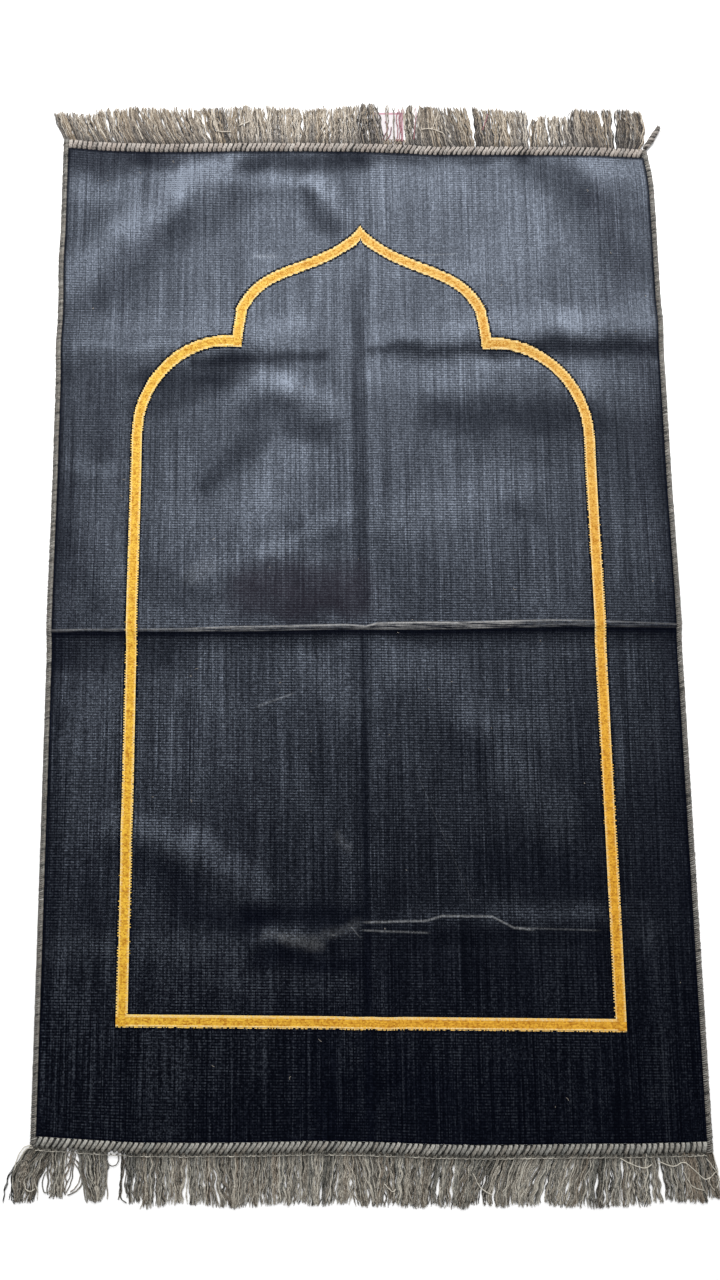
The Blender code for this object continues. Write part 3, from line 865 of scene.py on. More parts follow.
def gold_pile(finish, weave, away, bump):
    """Gold with a painted sheen towards the far end and on the left, speckled inside, and painted highlights at its
    edges.
    """
    edge = away.ease(ARCH_HALF_LINE - 2.6, ARCH_HALF_LINE - 0.6)
    # Painted sheen: the gold is paler towards the far end and yellower on the left.
    gold = finish.mix_colour(weave.y.ease(-250.0, 420.0) * 0.65, GOLD, GOLD_FAR_SHEEN)
    gold = finish.mix_colour(weave.x.ease(100.0, -240.0) * 0.6, gold, GOLD_LEFT_SHEEN)
    speckle = (weave.mottle - 0.45) * 1.5 + (weave.dashes - 0.42) * 1.6 + (weave.tuft - 0.5) * 0.8 + 0.22
    gold = finish.mix_colour((speckle * (1 - edge * 0.5)).clamped(), gold, GOLD_DEEP)
    # Painted highlight at the gold line's edges.
    gold = finish.mix_colour(edge * (weave.tuft * 0.5 + weave.dashes * 0.5 - 0.1), gold, GOLD_EDGE_HIGHLIGHT)
    return finish.surface(Base_Color=gold, Roughness=0.75, Specular_IOR_Level=0.15, Normal=bump)


def velvet():
    finish = Finish("velvet")
    weave = weave_on(finish)
    tuft_mid_x = (weave.tuft_x + 0.5) * TUFT_ACROSS
    tuft_mid_y = (weave.tuft_y + 0.5) * TUFT_ALONG
    away = arch_distance(tuft_mid_x, tuft_mid_y) + weave.row * 0.4 + (weave.tuft - 0.5) * 0.5
    relief = weave.row * 0.35 + weave.tuft * 0.6 + weave.fine * 0.9 + weave.dashes * 0.8
    bump = finish.bump(relief, 0.4, 0.0004)
    # Painted shade: the navy pile is darkened in a band just outside the gold line.
    navy = navy_pile(finish, weave, away.below(ARCH_HALF_LINE + ARCH_SHADE_WIDTH), bump)
    golden = gold_pile(finish, weave, away, bump)
    return finish.end(finish.mix_shaders(away.below(ARCH_HALF_LINE), navy, golden))


velvet_sheet = make_sheet("velvet", velvet())
print("velvet:", len(velvet_sheet.data.polygons), "faces")

# %% [markdown]
# ## Growing thread with Geometry Nodes
#
# Stitches and yarns repeat by the hundred, so Geometry Nodes make them. A recipe is a tree with named inputs for
# its sizes. It is set on a guide, a small mesh that says where each thread goes, and the evaluated result is kept
# as a plain mesh. Numbers stored on the guide's points, such as `shade`, come through to the threads.

# %% The helpers for recipes
SOCKET_KINDS = {float: "NodeSocketFloat", int: "NodeSocketInt", bpy.types.Material: "NodeSocketMaterial"}


class Recipe(Graph):
    """A Geometry Nodes tree that is being built, from a guide to finished geometry."""

    def __init__(self, name, **inputs):
        super().__init__(bpy.data.node_groups.new(name, "GeometryNodeTree"))
        self.tree.interface.new_socket("Guide", in_out="INPUT", socket_type="NodeSocketGeometry")
        for label, kind in inputs.items():
            self.tree.interface.new_socket(label, in_out="INPUT", socket_type=SOCKET_KINDS[kind])
        self.tree.interface.new_socket("Result", in_out="OUTPUT", socket_type="NodeSocketGeometry")
        self.given = self.node("NodeGroupInput")

    def value(self, label):
        """One of the recipe's own inputs."""
        return Term(self, self.given.socket.node.outputs[label])

    def stored(self, name):
        return self.node("GeometryNodeInputNamedAttribute", {"data_type": "FLOAT"}, {0: name})

    def store(self, geometry, name, value, kind="FLOAT"):
        values = {"Geometry": geometry, "Name": name, "Value": value}
        return self.node("GeometryNodeStoreNamedAttribute", {"data_type": kind}, values)

    def ring(self, sides, radius):
        return self.node("GeometryNodeCurvePrimitiveCircle", None, {"Resolution": sides, "Radius": radius})

    def end(self, geometry):
        """Realize the instances, give them the material, and finish the tree."""
        plain = self.node("GeometryNodeRealizeInstances", None, {0: geometry})
        smooth_faces = self.node("GeometryNodeSetShadeSmooth", None, {0: plain})
        values = {"Geometry": smooth_faces, "Material": self.value("Material")}
        finished = self.node("GeometryNodeSetMaterial", None, values)
        self.node("NodeGroupOutput", None, {0: finished})
        return self.tree


print("a recipe's inputs may be", [kind.__name__ for kind in SOCKET_KINDS])

# %% [markdown]
# `grow` sets a recipe on a guide, keeps what it makes and removes the guide.

# %% Run a recipe


def grow(name, guide_mesh, tree, **values):
    """Run a recipe on a guide and keep the result as a plain mesh, under the piece's name."""
    guide = add_object(name + "_guide", guide_mesh)
    modifier = guide.modifiers.new("recipe", "NODES")
    modifier.node_group = tree
    for item in tree.interface.items_tree:
        if item.in_out == "INPUT" and item.name in values:
            modifier[item.identifier] = values[item.name]
    bpy.context.view_layer.update()
    graph = bpy.context.evaluated_depsgraph_get()
    mesh = bpy.data.meshes.new_from_object(guide.evaluated_get(graph))
    mesh.name = name
    piece = add_object(name, mesh)
    bpy.data.objects.remove(guide)
    print(name + ":", len(mesh.polygons), "faces")
    return piece


print("each grown piece prints its faces")

# %% [markdown]
# ## Yarn
#
# All the thread on this rug is the same kind of thing: fibres twisted into a yarn, grey to taupe, no two quite the
# same shade. The shader takes a yarn's shade from its `shade` attribute and its warmth from `warmth`, and adds a
# fine mottle for the fibres. On thick thread the recipes also store how far along (`run`) and which way round
# (`round`) each point lies, and the twist of the plies is a sine that winds with both.

# %% The yarn's material
TWIST_PER_MM = 2.4
STITCH_RUN = 14.3  # millimetres of yarn in a whip stitch


def yarn(name, dark, cool, warm, light, painted_stitch_shade=0.0):
    finish = Finish(name)
    dark, cool, warm, light = (colour(*tone) for tone in (dark, cool, warm, light))
    speck = finish.noise(finish.on_object(), 2.0, 0.6, 900.0)
    tangle = finish.noise(finish.on_object(), 1.0, scale=330.0)
    run = finish.attribute("run")
    cosine, sine = finish.split(finish.node("ShaderNodeAttribute", {"attribute_name": "round"}, output=1))
    turn = run * TWIST_PER_MM
    twist = turn.maths("SINE") * cosine + turn.maths("COSINE") * sine
    shade = finish.attribute("shade") + (speck - 0.5) * 0.9 + (tangle - 0.5) * 0.5 + twist * 0.09
    # Painted shade on a whip stitch: one foot lighter than the other, as the light falls, and its sides darker, in
    # the crevices between stitches.
    if painted_stitch_shade:
        beside = finish.attribute("beside")
        shade = shade + (run / STITCH_RUN - 0.5) * painted_stitch_shade - (beside * beside - 0.3) * painted_stitch_shade * 0.55
    body = finish.mix_colour(finish.attribute("warmth"), cool, warm)
    body = finish.mix_colour(shade.ease(0.45, 1.05), body, light)
    body = finish.mix_colour(shade.ease(0.5, 0.0), body, dark)
    bump = finish.bump(speck * 0.6 + twist * 0.5, 0.6, 0.0003)
    return finish.end(finish.surface(Base_Color=body, Roughness=0.7, Specular_IOR_Level=0.3, Normal=bump))


print("the plies turn once in", round(2 * math.pi / TWIST_PER_MM, 1), "mm")

# %% [markdown]
# Each yarn has four tones: dark, cool, warm and light. A whip stitch also gets painted shade, lighter at one foot
# than the other and darker at its sides, by the last number of its row.

# %% The shades of yarn
YARNS = {
    "fringe_yarn_near": ((0.020, 0.020, 0.017), (0.175, 0.172, 0.154), (0.215, 0.176, 0.135), (0.52, 0.49, 0.42)),
    "fringe_yarn_far": ((0.026, 0.023, 0.022), (0.190, 0.172, 0.155), (0.250, 0.195, 0.135), (0.52, 0.47, 0.40)),
    "whip_yarn_near": ((0.022, 0.023, 0.021), (0.16, 0.163, 0.152), (0.19, 0.17, 0.142), (0.36, 0.35, 0.32), 0.62),
    "whip_yarn_far": ((0.045, 0.04, 0.036), (0.24, 0.222, 0.205), (0.275, 0.23, 0.20), (0.47, 0.43, 0.39), 0.20),
    "side_thread": ((0.026, 0.026, 0.025), (0.190, 0.186, 0.172), (0.225, 0.200, 0.172), (0.42, 0.41, 0.38)),
    "label_yarn": ((0.08, 0.03, 0.04), (0.25, 0.11, 0.13), (0.29, 0.13, 0.14), (0.44, 0.31, 0.32)),
}
yarn_near, yarn_far, whip_near_yarn, whip_far_yarn, side_yarn, label_yarn = (
    yarn(name, *tones) for name, tones in YARNS.items()
)
print("yarns:", ", ".join(YARNS))

# %% [markdown]
# ## Stitches over an edge
#
# A whipped or overcast edge is one yarn going over it again and again. Each stitch is an arch of plies that wind
# round each other. The recipe bends an arc into that arch, makes the plies, and puts a copy on every point of the
# guide, turned by `turn` and sized by `wide`, `long` and `tall`.

# %% The stitch recipe


def stitch_recipe(name, plies):
    sizes = dict(Half=float, Height=float, Ply=float, Spread=float, Twist=float, Steps=int, Sides=int)
    recipe = Recipe(name, **sizes, Material=bpy.types.Material)
    share = recipe.node("GeometryNodeSplineParameter")
    bow = {"Start Angle": math.radians(6), "Sweep Angle": math.radians(168)}
    arc = recipe.node("GeometryNodeCurveArc", None, {"Resolution": recipe.value("Steps"), "Radius": 1.0, **bow})
    arc = recipe.store(arc, "run", share * (recipe.value("Half") * (math.pi / MM)))
    profile = recipe.ring(recipe.value("Sides"), recipe.value("Ply"))
    position = recipe.node("GeometryNodeInputPosition")
    about = recipe.node("ShaderNodeVectorMath", {"operation": "NORMALIZE"}, {0: position})
    profile = recipe.store(profile, "round", about, "FLOAT_VECTOR")
    forth, upwards = recipe.split(position)
    fullness = (share * (1 - share) * 4.0).maths("POWER", 0.4)
    spread = recipe.value("Spread") * (fullness * 0.75 + 0.25)
    thinned = recipe.node("GeometryNodeSetCurveRadius", None, {"Curve": arc, "Radius": fullness * 0.45 + 0.55})
    joined = recipe.node("GeometryNodeJoinGeometry")
    for ply in range(plies):
        turn = share * recipe.value("Twist") + 2 * math.pi * ply / plies
        sideways = turn.maths("COSINE") * spread
        outwards = turn.maths("SINE") * spread * 0.6
        over = forth * -1.0 * (recipe.value("Half") + outwards)
        up = upwards * (recipe.value("Height") + outwards)
        bent = recipe.point(sideways, over, up)
        strand = recipe.node("GeometryNodeSetPosition", None, {"Geometry": thinned, "Position": bent})
        swept = {"Curve": strand, "Profile Curve": profile, "Fill Caps": True}
        solid = recipe.node("GeometryNodeCurveToMesh", None, swept)
        recipe.tree.links.new(solid.socket, joined.socket.node.inputs[0])
    aside = recipe.split(recipe.node("GeometryNodeInputPosition"))[0]
    joined = recipe.store(joined, "beside", abs(aside) / (recipe.value("Spread") + recipe.value("Ply")))
    turn = recipe.point(0.0, 0.0, recipe.stored("turn"))
    turned = recipe.node("FunctionNodeEulerToRotation", None, {0: turn})
    sized = recipe.point(recipe.stored("wide"), recipe.stored("long"), recipe.stored("tall"))
    values = {"Points": recipe.value("Guide"), "Instance": joined, "Rotation": turned, "Scale": sized}
    return recipe.end(recipe.node("GeometryNodeInstanceOnPoints", None, values))


whip_stitches = stitch_recipe("whip_stitches", 3)
side_stitches = stitch_recipe("side_stitches", 2)
print("stitch recipe:", len(whip_stitches.nodes), "nodes")

# %% [markdown]
# ### The whipped ends
#
# Thick grey yarn of three plies is whipped over each cut end, a stitch every 5.6 mm, slanting the way a right hand
# sews. The hand is not a machine: the slant, the height and the width wander a little, here and there two stitches
# part and the dark edge shows, and at the near end it stands up straighter towards the right.

# %% Whip both ends
WHIP_STITCHES = 120
# Half to Spread are in metres, Twist is in radians, and the last two are counts.
WHIP_SIZES = dict(Half=0.00455, Height=0.0036, Ply=0.00122, Spread=0.00122, Twist=3.4, Steps=13, Sides=8)
SLANT_STATIONS = (-336, -200, 0, 200, 336)
NEAR_SLANTS = (30, 36, 35, 31, 8)
FAR_SLANTS = (10, 14, 30, 36, 26)
WHIP_LIFT = 0.45  # so that the feet of the stitches stay above the floor
WHIP_PARTED = 0.16  # the share of stitches with a gap beside them


def point_cloud(name, points, **values):
    mesh = bpy.data.meshes.new(name)
    mesh.from_pydata(points.tolist(), [], [])
    keep_values(mesh, **values)
    return mesh


def make_whipping(name, side, slants, material, seed, mean_shade, full):
    rng = np.random.default_rng(seed)
    count = WHIP_STITCHES
    step = 2 * CLOTH_HALF_WIDTH / count
    parted = rng.random(count) < WHIP_PARTED
    across = -CLOTH_HALF_WIDTH + (np.arange(count) + 0.5) * step + rng.normal(0, 0.22, count) + 0.35 * parted
    along = side * (HALF_LENGTH - WHIP_WIDTH / 2) + rng.normal(0, 0.25, count)
    slant = np.radians(np.interp(across, SLANT_STATIONS, slants) + rng.normal(0, 3.0, count))
    squeeze = np.cos(slant) ** 0.8  # a slanting stitch is narrower and longer
    guide = point_cloud(
        name,
        place(across, along, np.full(count, WHIP_LIFT)),
        turn=-slant,
        wide=full * np.where(parted, 0.84, 1.04) * rng.uniform(0.95, 1.05, count) * squeeze,
        long=rng.uniform(0.95, 1.03, count) / squeeze,
        tall=rng.uniform(0.90, 1.04, count),
        shade=mean_shade + rng.normal(0, 0.09, count),
        warmth=rng.uniform(0.1, 0.8, count),
    )
    return grow(name, guide, whip_stitches, Material=material, **WHIP_SIZES)


whipping_near = make_whipping("whipping_near", -1, NEAR_SLANTS, whip_near_yarn, 11, 0.50, 1.0)
whipping_far = make_whipping("whipping_far", 1, FAR_SLANTS, whip_far_yarn, 12, 0.52, 1.04)

# %% [markdown]
# ### What the stitches go round
#
# Between two stitches the folded edge of the cloth shows, dark and in shadow. It is a low rounded strip under the
# stitches, drawn as one section carried along the edge.

# %% The edges under the stitches
core_finish = Finish("edge_cloth")
core_speck = core_finish.noise(core_finish.on_object(), scale=500.0)
core_tone = core_finish.mix_colour(core_speck, colour(0.010, 0.011, 0.012), colour(0.045, 0.043, 0.040))
core_surface = core_finish.surface(Base_Color=core_tone, Roughness=0.85, Specular_IOR_Level=0.2)
edge_cloth = core_finish.end(core_surface)


def strip(name, sections, material):
    """A closed strip through sections of points, each an array of one length, with flat ends."""
    count, around = sections.shape[:2]
    start = np.arange(count - 1)[:, None] * around
    first = start + np.arange(around)[None, :]
    second = start + (np.arange(around)[None, :] + 1) % around
    faces = np.stack([first, second, second + around, first + around], axis=-1).reshape(-1, 4)
    caps = [list(range(around))[::-1], [(count - 1) * around + index for index in range(around)]]
    return new_piece(name, sections.reshape(-1, 3), faces.tolist() + caps, material, sharp=60)


def edge_section(wide, high, sides=10):
    """A low arch over a flat foot: distances from the middle of the strip, and heights."""
    angle = np.linspace(math.pi, 0, sides)
    return wide / 2 * np.cos(angle), high * np.sin(angle) ** 0.8


def whip_core(name, side):
    offset, height = edge_section(WHIP_WIDTH - 2.6, 3.0)
    across = np.linspace(-CLOTH_HALF_WIDTH + 0.5, CLOTH_HALF_WIDTH - 0.5, 60)[:, None]
    middle = side * (HALF_LENGTH - WHIP_WIDTH / 2)
    return strip(name, place(across, middle + offset[None, ::-1], height[None, ::-1] + 0.05), edge_cloth)


core_near = whip_core("whip_core_near", -1)
core_far = whip_core("whip_core_far", 1)
print("cores:", core_near.name, core_far.name)

# %% [markdown]
# ### The overcast sides
#
# Both sides are overcast by machine with a finer thread, a stitch every 2 mm. They ride up over the folds with the
# cloth, so each stitch takes its height from `rise`.

# %% Overcast both sides
SIDE_STITCHES = 540
SIDE_SIZES = dict(Half=0.0035, Height=0.0033, Ply=0.00060, Spread=0.00052, Twist=2.2, Steps=7, Sides=4)
SIDE_SLANT = 20.0
SIDE_MIDDLE = HALF_WIDTH - SIDE_WIDTH / 2 - 0.6


def make_overcast(name, side, seed):
    rng = np.random.default_rng(seed)
    count = SIDE_STITCHES
    along = np.linspace(-HALF_LENGTH + 1.5, HALF_LENGTH - 1.5, count) + rng.normal(0, 0.12, count)
    across = side * SIDE_MIDDLE + rng.normal(0, 0.12, count)
    lift = rise(side * (HALF_WIDTH - SIDE_WIDTH), along)
    guide = point_cloud(
        name,
        place(across, along, lift),
        turn=np.radians(90 + SIDE_SLANT + rng.normal(0, 5.0, count)),
        wide=rng.uniform(0.9, 1.1, count),
        long=rng.uniform(0.94, 1.04, count),
        tall=rng.uniform(0.92, 1.04, count),
        shade=0.42 + rng.normal(0, 0.12, count),
        warmth=rng.uniform(0.1, 0.7, count),
    )
    return grow(name, guide, side_stitches, Material=side_yarn, **SIDE_SIZES)


def side_core(name, side):
    offset, height = edge_section(SIDE_WIDTH + 0.2, 2.9)
    along = np.linspace(-HALF_LENGTH + 0.5, HALF_LENGTH - 0.5, 220)[:, None]
    lift = rise(side * (HALF_WIDTH - SIDE_WIDTH), along)
    across = side * SIDE_MIDDLE + offset[None, :]
    return strip(name, place(across, along, lift + height[None, :] + 0.05), edge_cloth)


overcast_left = make_overcast("overcast_left", -1, 21)
overcast_right = make_overcast("overcast_right", 1, 22)
side_core_left = side_core("side_core_left", -1)
side_core_right = side_core("side_core_right", 1)

# %% [markdown]
# ## Yarn along a path
#
# The fringe, the heading thread, the loose ends and the lint are all yarns that follow a path. The guide is a mesh
# of polylines, and the recipe sweeps a small round section along each. The section of a fringe yarn has only three
# corners, because there are thousands of them and each is thinner than a millimetre.

# %% The yarn recipe


def yarn_recipe():
    recipe = Recipe("yarns", Thickness=float, Sides=int, Material=bpy.types.Material)
    paths = recipe.node("GeometryNodeMeshToCurve", None, {0: recipe.value("Guide")})
    profile = recipe.ring(recipe.value("Sides"), recipe.value("Thickness") * 0.5)
    values = {"Curve": paths, "Profile Curve": profile, "Scale": recipe.stored("girth"), "Fill Caps": True}
    return recipe.end(recipe.node("GeometryNodeCurveToMesh", None, values))


yarns = yarn_recipe()


def polylines(name, lines, **values):
    """A guide of polylines. lines has one row of points for each, and so have the values."""
    count, length = lines.shape[:2]
    starts = np.arange(count)[:, None] * length + np.arange(length - 1)[None, :]
    edges = np.stack([starts.ravel(), starts.ravel() + 1], axis=1)
    mesh = bpy.data.meshes.new(name)
    mesh.from_pydata(lines.reshape(-1, 3).tolist(), edges.tolist(), [])
    spread = {key: np.broadcast_to(value, (count, length)) for key, value in values.items()}
    keep_values(mesh, **spread)
    return mesh


def spin(name, lines, thickness, material, sides=3, **values):
    """Yarns of one thickness in millimetres along rows of points."""
    values.setdefault("girth", 1.0)
    guide = polylines(name, lines, **values)
    return grow(name, guide, yarns, Thickness=thickness * MM, Sides=sides, Material=material)


print("yarn recipe:", len(yarns.nodes), "nodes")

# %% [markdown]
# ## The fringe
#
# Each end has nearly four thousand fine yarns, knotted off by the whipping. Handling has combed them into clumps:
# between two clumps the floor shows. The table has a row for each clump: where its yarns leave the end, where they
# finish, how far they reach, how far a side bellies out, how full it is, how much darker (minus) it is, and how
# far its middle sweeps sideways. Within a clump the yarns go in strands of three, and the strands gather into
# pointed locks that crimp together.

# %% The clumps of the fringe
Clump = namedtuple(
    "Clump", "root_from root_to tip_from tip_to reach belly full tone sweep", defaults=(0.0, 0.0)
)
NEAR_CLUMPS = [Clump(*row) for row in (
    (-341, -316, -356.5, -338, 45, -7, 1.9, -0.20), (-322, -305, -321, -312, 41, 0, 1, -0.06),
    (-303, -297, -310, -305, 38, 0, 0.3), (-295, -265, -284, -272, 43, 0, 1.1),
    (-252, -246, -251, -245, 42, 0, 0.35), (-245.8, -227.2, -240.9, -227.1, 46, 0, 0.99),
    (-228.8, -209.2, -226.9, -211.1, 49, 0, 1.21, -0.04), (-210.8, -175.2, -209.9, -177.1, 46, 0, 1.1),
    (-176.8, -160.2, -175.9, -163.1, 45, 0, 1.1, 0.05), (-161.8, -130.2, -159.9, -131.1, 48, 0, 1.21),
    (-131.8, -119.2, -131.9, -123.1, 46, 0, 1.1, 0.04), (-120.8, -99.2, -120.9, -101.1, 46, 0, 1.21),
    (-100.8, -63.2, -98.9, -65.1, 45, 0, 1.26), (-64.8, -21.2, -63.9, -23.1, 44, 0, 1.26, 0, -5),
    (-22.8, 12.8, -15.9, 10.9, 45, 0, 1.21), (11.2, 38.8, 13.1, 35.9, 45, 0, 1.21, -0.03),
    (37.2, 107.8, 35.1, 93.9, 46, 0, 1.32, -0.05), (108.2, 133.8, 94.1, 112.9, 44, 0, 1.04),
    (132.2, 153.8, 119.1, 132.9, 45, 0, 1.21), (152.2, 178.8, 136.1, 156.9, 44, 0, 1.16, 0.04),
    (177.2, 203.8, 157.1, 188.9, 43, 0, 1.16, 0.03), (202.2, 229.8, 187.1, 220.9, 45, 0, 1.25, 0, -5),
    (228.2, 240.8, 223.1, 237.9, 45, 0, 1.1), (239.2, 262.8, 242.1, 260.9, 43, 0, 1.21, 0.03, -4),
    (261.2, 272.8, 264.1, 271.9, 43, 0, 1.1), (271.2, 286.8, 273.1, 285.9, 41, 0, 0.99),
    (286, 290, 296, 300, 37, 0, 0.5), (288, 317, 301, 320, 38, 0, 1.3, -0.05),
    (315.4, 329.4, 321, 331, 41, 0, 1.4), (328.4, 341.4, 335, 346, 35, 0, 1.4, -0.05),
)]
FAR_CLUMPS = [Clump(*row) for row in (
    (-341.3, -322.7, -350.6, -335.6, 35.5, 0, 1.1, -0.04), (-323.3, -287.7, -336.6, -302.6, 34.5, 0, 1.1),
    (-288.3, -250.7, -304.6, -265.6, 41.5, 0, 1.1, 0.05),
    (-251.3, -191.7, -266.6, -209.6, 42.5, 0, 1.2, 0.02, -5), (-192.3, -168.7, -206.6, -184.6, 41.5, 0, 1.1),
    (-169.3, -136.7, -183.6, -140.6, 44.5, 0, 1.1, -0.03),
    (-137.3, -71.7, -139.6, -72.6, 45.5, 0, 1.25, 0.03, -4), (-72.3, -48.7, -74.6, -49.6, 44.5, 0, 1.1, 0.02),
    (-49.3, -8.7, -51.6, -7.6, 45.5, 0, 1.15, 0.02), (-9.3, 1.3, -10.6, 2.4, 46.5, 0, 1.1, 0.02),
    (0, 32, 2.5, 20, 51, 0, 1, -0.28), (31, 57, 31, 57, 4, 0, 0.9, -0.25), (57, 71, 56, 65, 50, 0, 0.9, -0.1),
    (71.7, 137.0, 73.4, 125.4, 46, 0, 1.3, -0.12, -8), (137.9, 166.3, 137.4, 166.4, 45.5, 0, 1.2, -0.1, -5),
    (165.7, 199.3, 164.4, 200.4, 43.5, 0, 1.2, -0.04, -6), (200.7, 218.3, 203.4, 215.4, 33.5, 0, 0.8),
    (217.7, 234.3, 214.4, 234.4, 36.5, 0, 0.9), (233.7, 250.3, 233.4, 247.4, 35.5, 0, 1),
    (249.7, 303.2, 250.4, 300.5, 44.5, -2, 1.35, -0.18, -4), (305.4, 335.0, 307.6, 339.0, 44.5, 6, 1.35, -0.2),
)]
HEADING = 556.0  # the reach of a clump is measured from here
YARN_START = 550.5  # under the whipping
YARN_POINTS = 16
YARN_THICK = 0.80
YARN_LOWEST = 0.42  # half a yarn over the floor
STRAND_YARNS = 3
STRAND_HALF = 0.55
STRANDS_PER_MM = 1.55
LEAN_EASE = 1.5
GATHER_EASE = 2.4

# Comb says how the locks of one end lie: their least and greatest width, how far their yarns draw together, how
# much shorter a lock's outer yarns are, how far locks sweep across each other and strands lean by themselves, the
# share of stray yarns, and the shades and warmths of root and tip.
Comb = namedtuple(
    "Comb", "lock_from lock_to gather shorten sweep lean stray root_shade tip_shade root_warmth tip_warmth"
)
NEAR_COMB = Comb(4.0, 10.0, 0.16, 0.05, 3.2, 2.6, 0.12, 0.37, 0.49, 0.20, 0.52)
FAR_COMB = Comb(4.0, 8.0, 0.20, 0.10, 1.3, 2.2, 0.10, 0.33, 0.55, 0.15, 0.78)
print(len(NEAR_CLUMPS), "clumps at the near end,", len(FAR_CLUMPS), "at the far end")

# %% [markdown]
# The yarns of a clump are a `Group`. It draws the locks and the strands, and says which of them each yarn is in, so
# that a number drawn for a lock or a strand can be given to all its yarns.

# %% Share the yarns of a clump out
EASE_IN = 4  # crimp starts within the first quarter of a yarn


class Group:
    """The yarns of one clump, in strands and locks."""

    def __init__(self, clump, comb, rng):
        self.clump, self.comb, self.rng = clump, comb, rng
        self.step = np.linspace(0, 1, YARN_POINTS)[None, :]
        self.ease_in = np.minimum(1, self.step * EASE_IN)
        width = clump.root_to - clump.root_from
        self.locks = max(1, round(width / rng.uniform(comb.lock_from, comb.lock_to)))
        edges = np.concatenate([[0], np.cumsum(rng.uniform(0.6, 1.4, self.locks))])
        edges = edges / edges[-1]
        self.strands = max(2, round(STRANDS_PER_MM * width * clump.full))
        self.places = (rng.permutation(self.strands) + rng.uniform(0.1, 0.9, self.strands)) / self.strands
        self.strand = np.repeat(np.arange(self.strands), STRAND_YARNS)
        self.count = len(self.strand)
        self.share = self.places[self.strand] + rng.uniform(-1, 1, self.count) * STRAND_HALF / width
        lock = np.searchsorted(edges, self.places, side="right") - 1
        self.lock = np.clip(lock, 0, self.locks - 1)[self.strand]
        self.middle = (edges[self.lock] + edges[self.lock + 1]) / 2
        self.half = (edges[self.lock + 1] - edges[self.lock]) / 2
        self.offset = np.clip((self.share - self.middle) / self.half, -1, 1)

    def of_lock(self, values):
        return values[self.lock][:, None]

    def of_strand(self, values):
        return values[self.strand][:, None]

    def by_lock(self, spread):
        return self.of_lock(self.rng.normal(0, spread, self.locks))

    def by_strand(self, spread):
        return self.of_strand(self.rng.normal(0, spread, self.strands))

    def by_yarn(self, low, high):
        return self.rng.uniform(low, high, (self.count, 1))

    def waves(self, pick, total, low, high, longest, shortest):
        """Crimp, shared by the yarns that pick puts together."""
        size = self.rng.uniform(low, high, total)
        turns = self.clump.reach / self.rng.uniform(shortest, longest, total)
        phase = self.rng.uniform(0, 1, total)
        return pick(size) * np.sin(2 * math.pi * (self.step * pick(turns) + pick(phase)))


first_group = Group(NEAR_CLUMPS[0], NEAR_COMB, np.random.default_rng(0))
print("the first clump has", first_group.count, "yarns, in", first_group.locks, "locks")

# %% [markdown]
# A yarn starts from its place in the clump. It is drawn towards the middle of its lock, swept aside with it, and
# crimped with its strand. The outer yarns of a lock are shorter, which makes its point.

# %% Where the yarns of a clump run


def clump_line(clump, share, reached):
    """Where a yarn runs across the fringe. share is its place in the clump, reached goes from 0 to 1."""
    root_middle = (clump.root_from + clump.root_to) / 2
    tip_middle = (clump.tip_from + clump.tip_to) / 2
    root_width = clump.root_to - clump.root_from
    tip_width = clump.tip_to - clump.tip_from
    leaned = 1 - (1 - reached) ** LEAN_EASE
    middle = root_middle + (tip_middle - root_middle) * leaned
    width = root_width + (tip_width - root_width) * reached**GATHER_EASE
    outer = share if clump.belly > 0 else 1 - share
    return middle + (share - 0.5) * width + clump.belly * outer * 4 * reached * (1 - reached)


def yarns_across(group):
    comb, rng, step = group.comb, group.rng, group.step
    gather = group.of_lock(comb.gather * rng.uniform(0.5, 1.3, group.locks))
    gather = gather * step ** group.of_lock(rng.uniform(2.0, 4.0, group.locks))
    inside = (group.middle + group.offset * group.half * 0.98)[:, None]
    drawn = (group.middle[:, None] - inside) * gather
    across = clump_line(group.clump, inside + drawn, step)
    free = 4 * inside * (1 - inside)
    across = across + group.by_lock(1.1) * step**2
    across = across + free * (group.clump.sweep * step + group.by_lock(comb.sweep) * step**1.2)
    across = across + group.by_strand(comb.lean) * step**1.6
    stray = (rng.random(group.strands) < comb.stray) * rng.normal(0, 4.5, group.strands)
    across = across + group.of_strand(stray) * step**1.3
    crimp = group.waves(group.of_lock, group.locks, 0.35, 1.10, 30.0, 12.0)
    crimp = crimp + group.waves(group.of_strand, group.strands, 0.25, 0.95, 24.0, 8.5)
    own = group.by_yarn(0.08, 0.40)
    own = own * np.sin(step * group.by_yarn(14, 34) + 6 * group.share[:, None])
    return across + (crimp + own) * group.ease_in


def yarn_lengths(group):
    rng = group.rng
    length = group.of_lock(group.clump.reach * rng.uniform(0.98, 1.06, group.locks))
    length = length * (1 - group.comb.shorten * group.offset[:, None] ** 2)
    length = length * (1 - 0.06 * rng.random((group.count, 1)) ** 2)
    return length * (1 - 0.10 * group.of_strand(rng.random(group.strands)) ** 3)


print("a yarn starts", round(HALF_LENGTH - YARN_START, 1), "mm inside the end")

# %% [markdown]
# Every other strand lies on top, and a yarn on top is painted lighter, because more light reaches it, and a yarn
# below is painted darker, as shade. The roots are painted dark, for the shade under the whipping.

# %% How high the yarns of a clump lie, and their shades


def yarn_layers(group):
    """0 for the lowest yarn, 1 for the highest."""
    order = np.argsort(np.argsort(group.places))
    layer = group.of_strand(0.5 * (order % 2) + 0.5 * group.rng.random(group.strands)) * 0.9
    return layer + group.rng.random((group.count, 1)) * 0.1


def yarn_heights(group, layer):
    root_height = 0.7 + 2.0 * layer
    tip_height = 0.36 + 1.5 * layer
    bumps = group.waves(group.of_strand, group.strands, 0.05, 0.35, 22.0, 9.0) * group.ease_in
    return np.maximum(root_height + (tip_height - root_height) * group.step**0.7 + bumps, YARN_LOWEST)


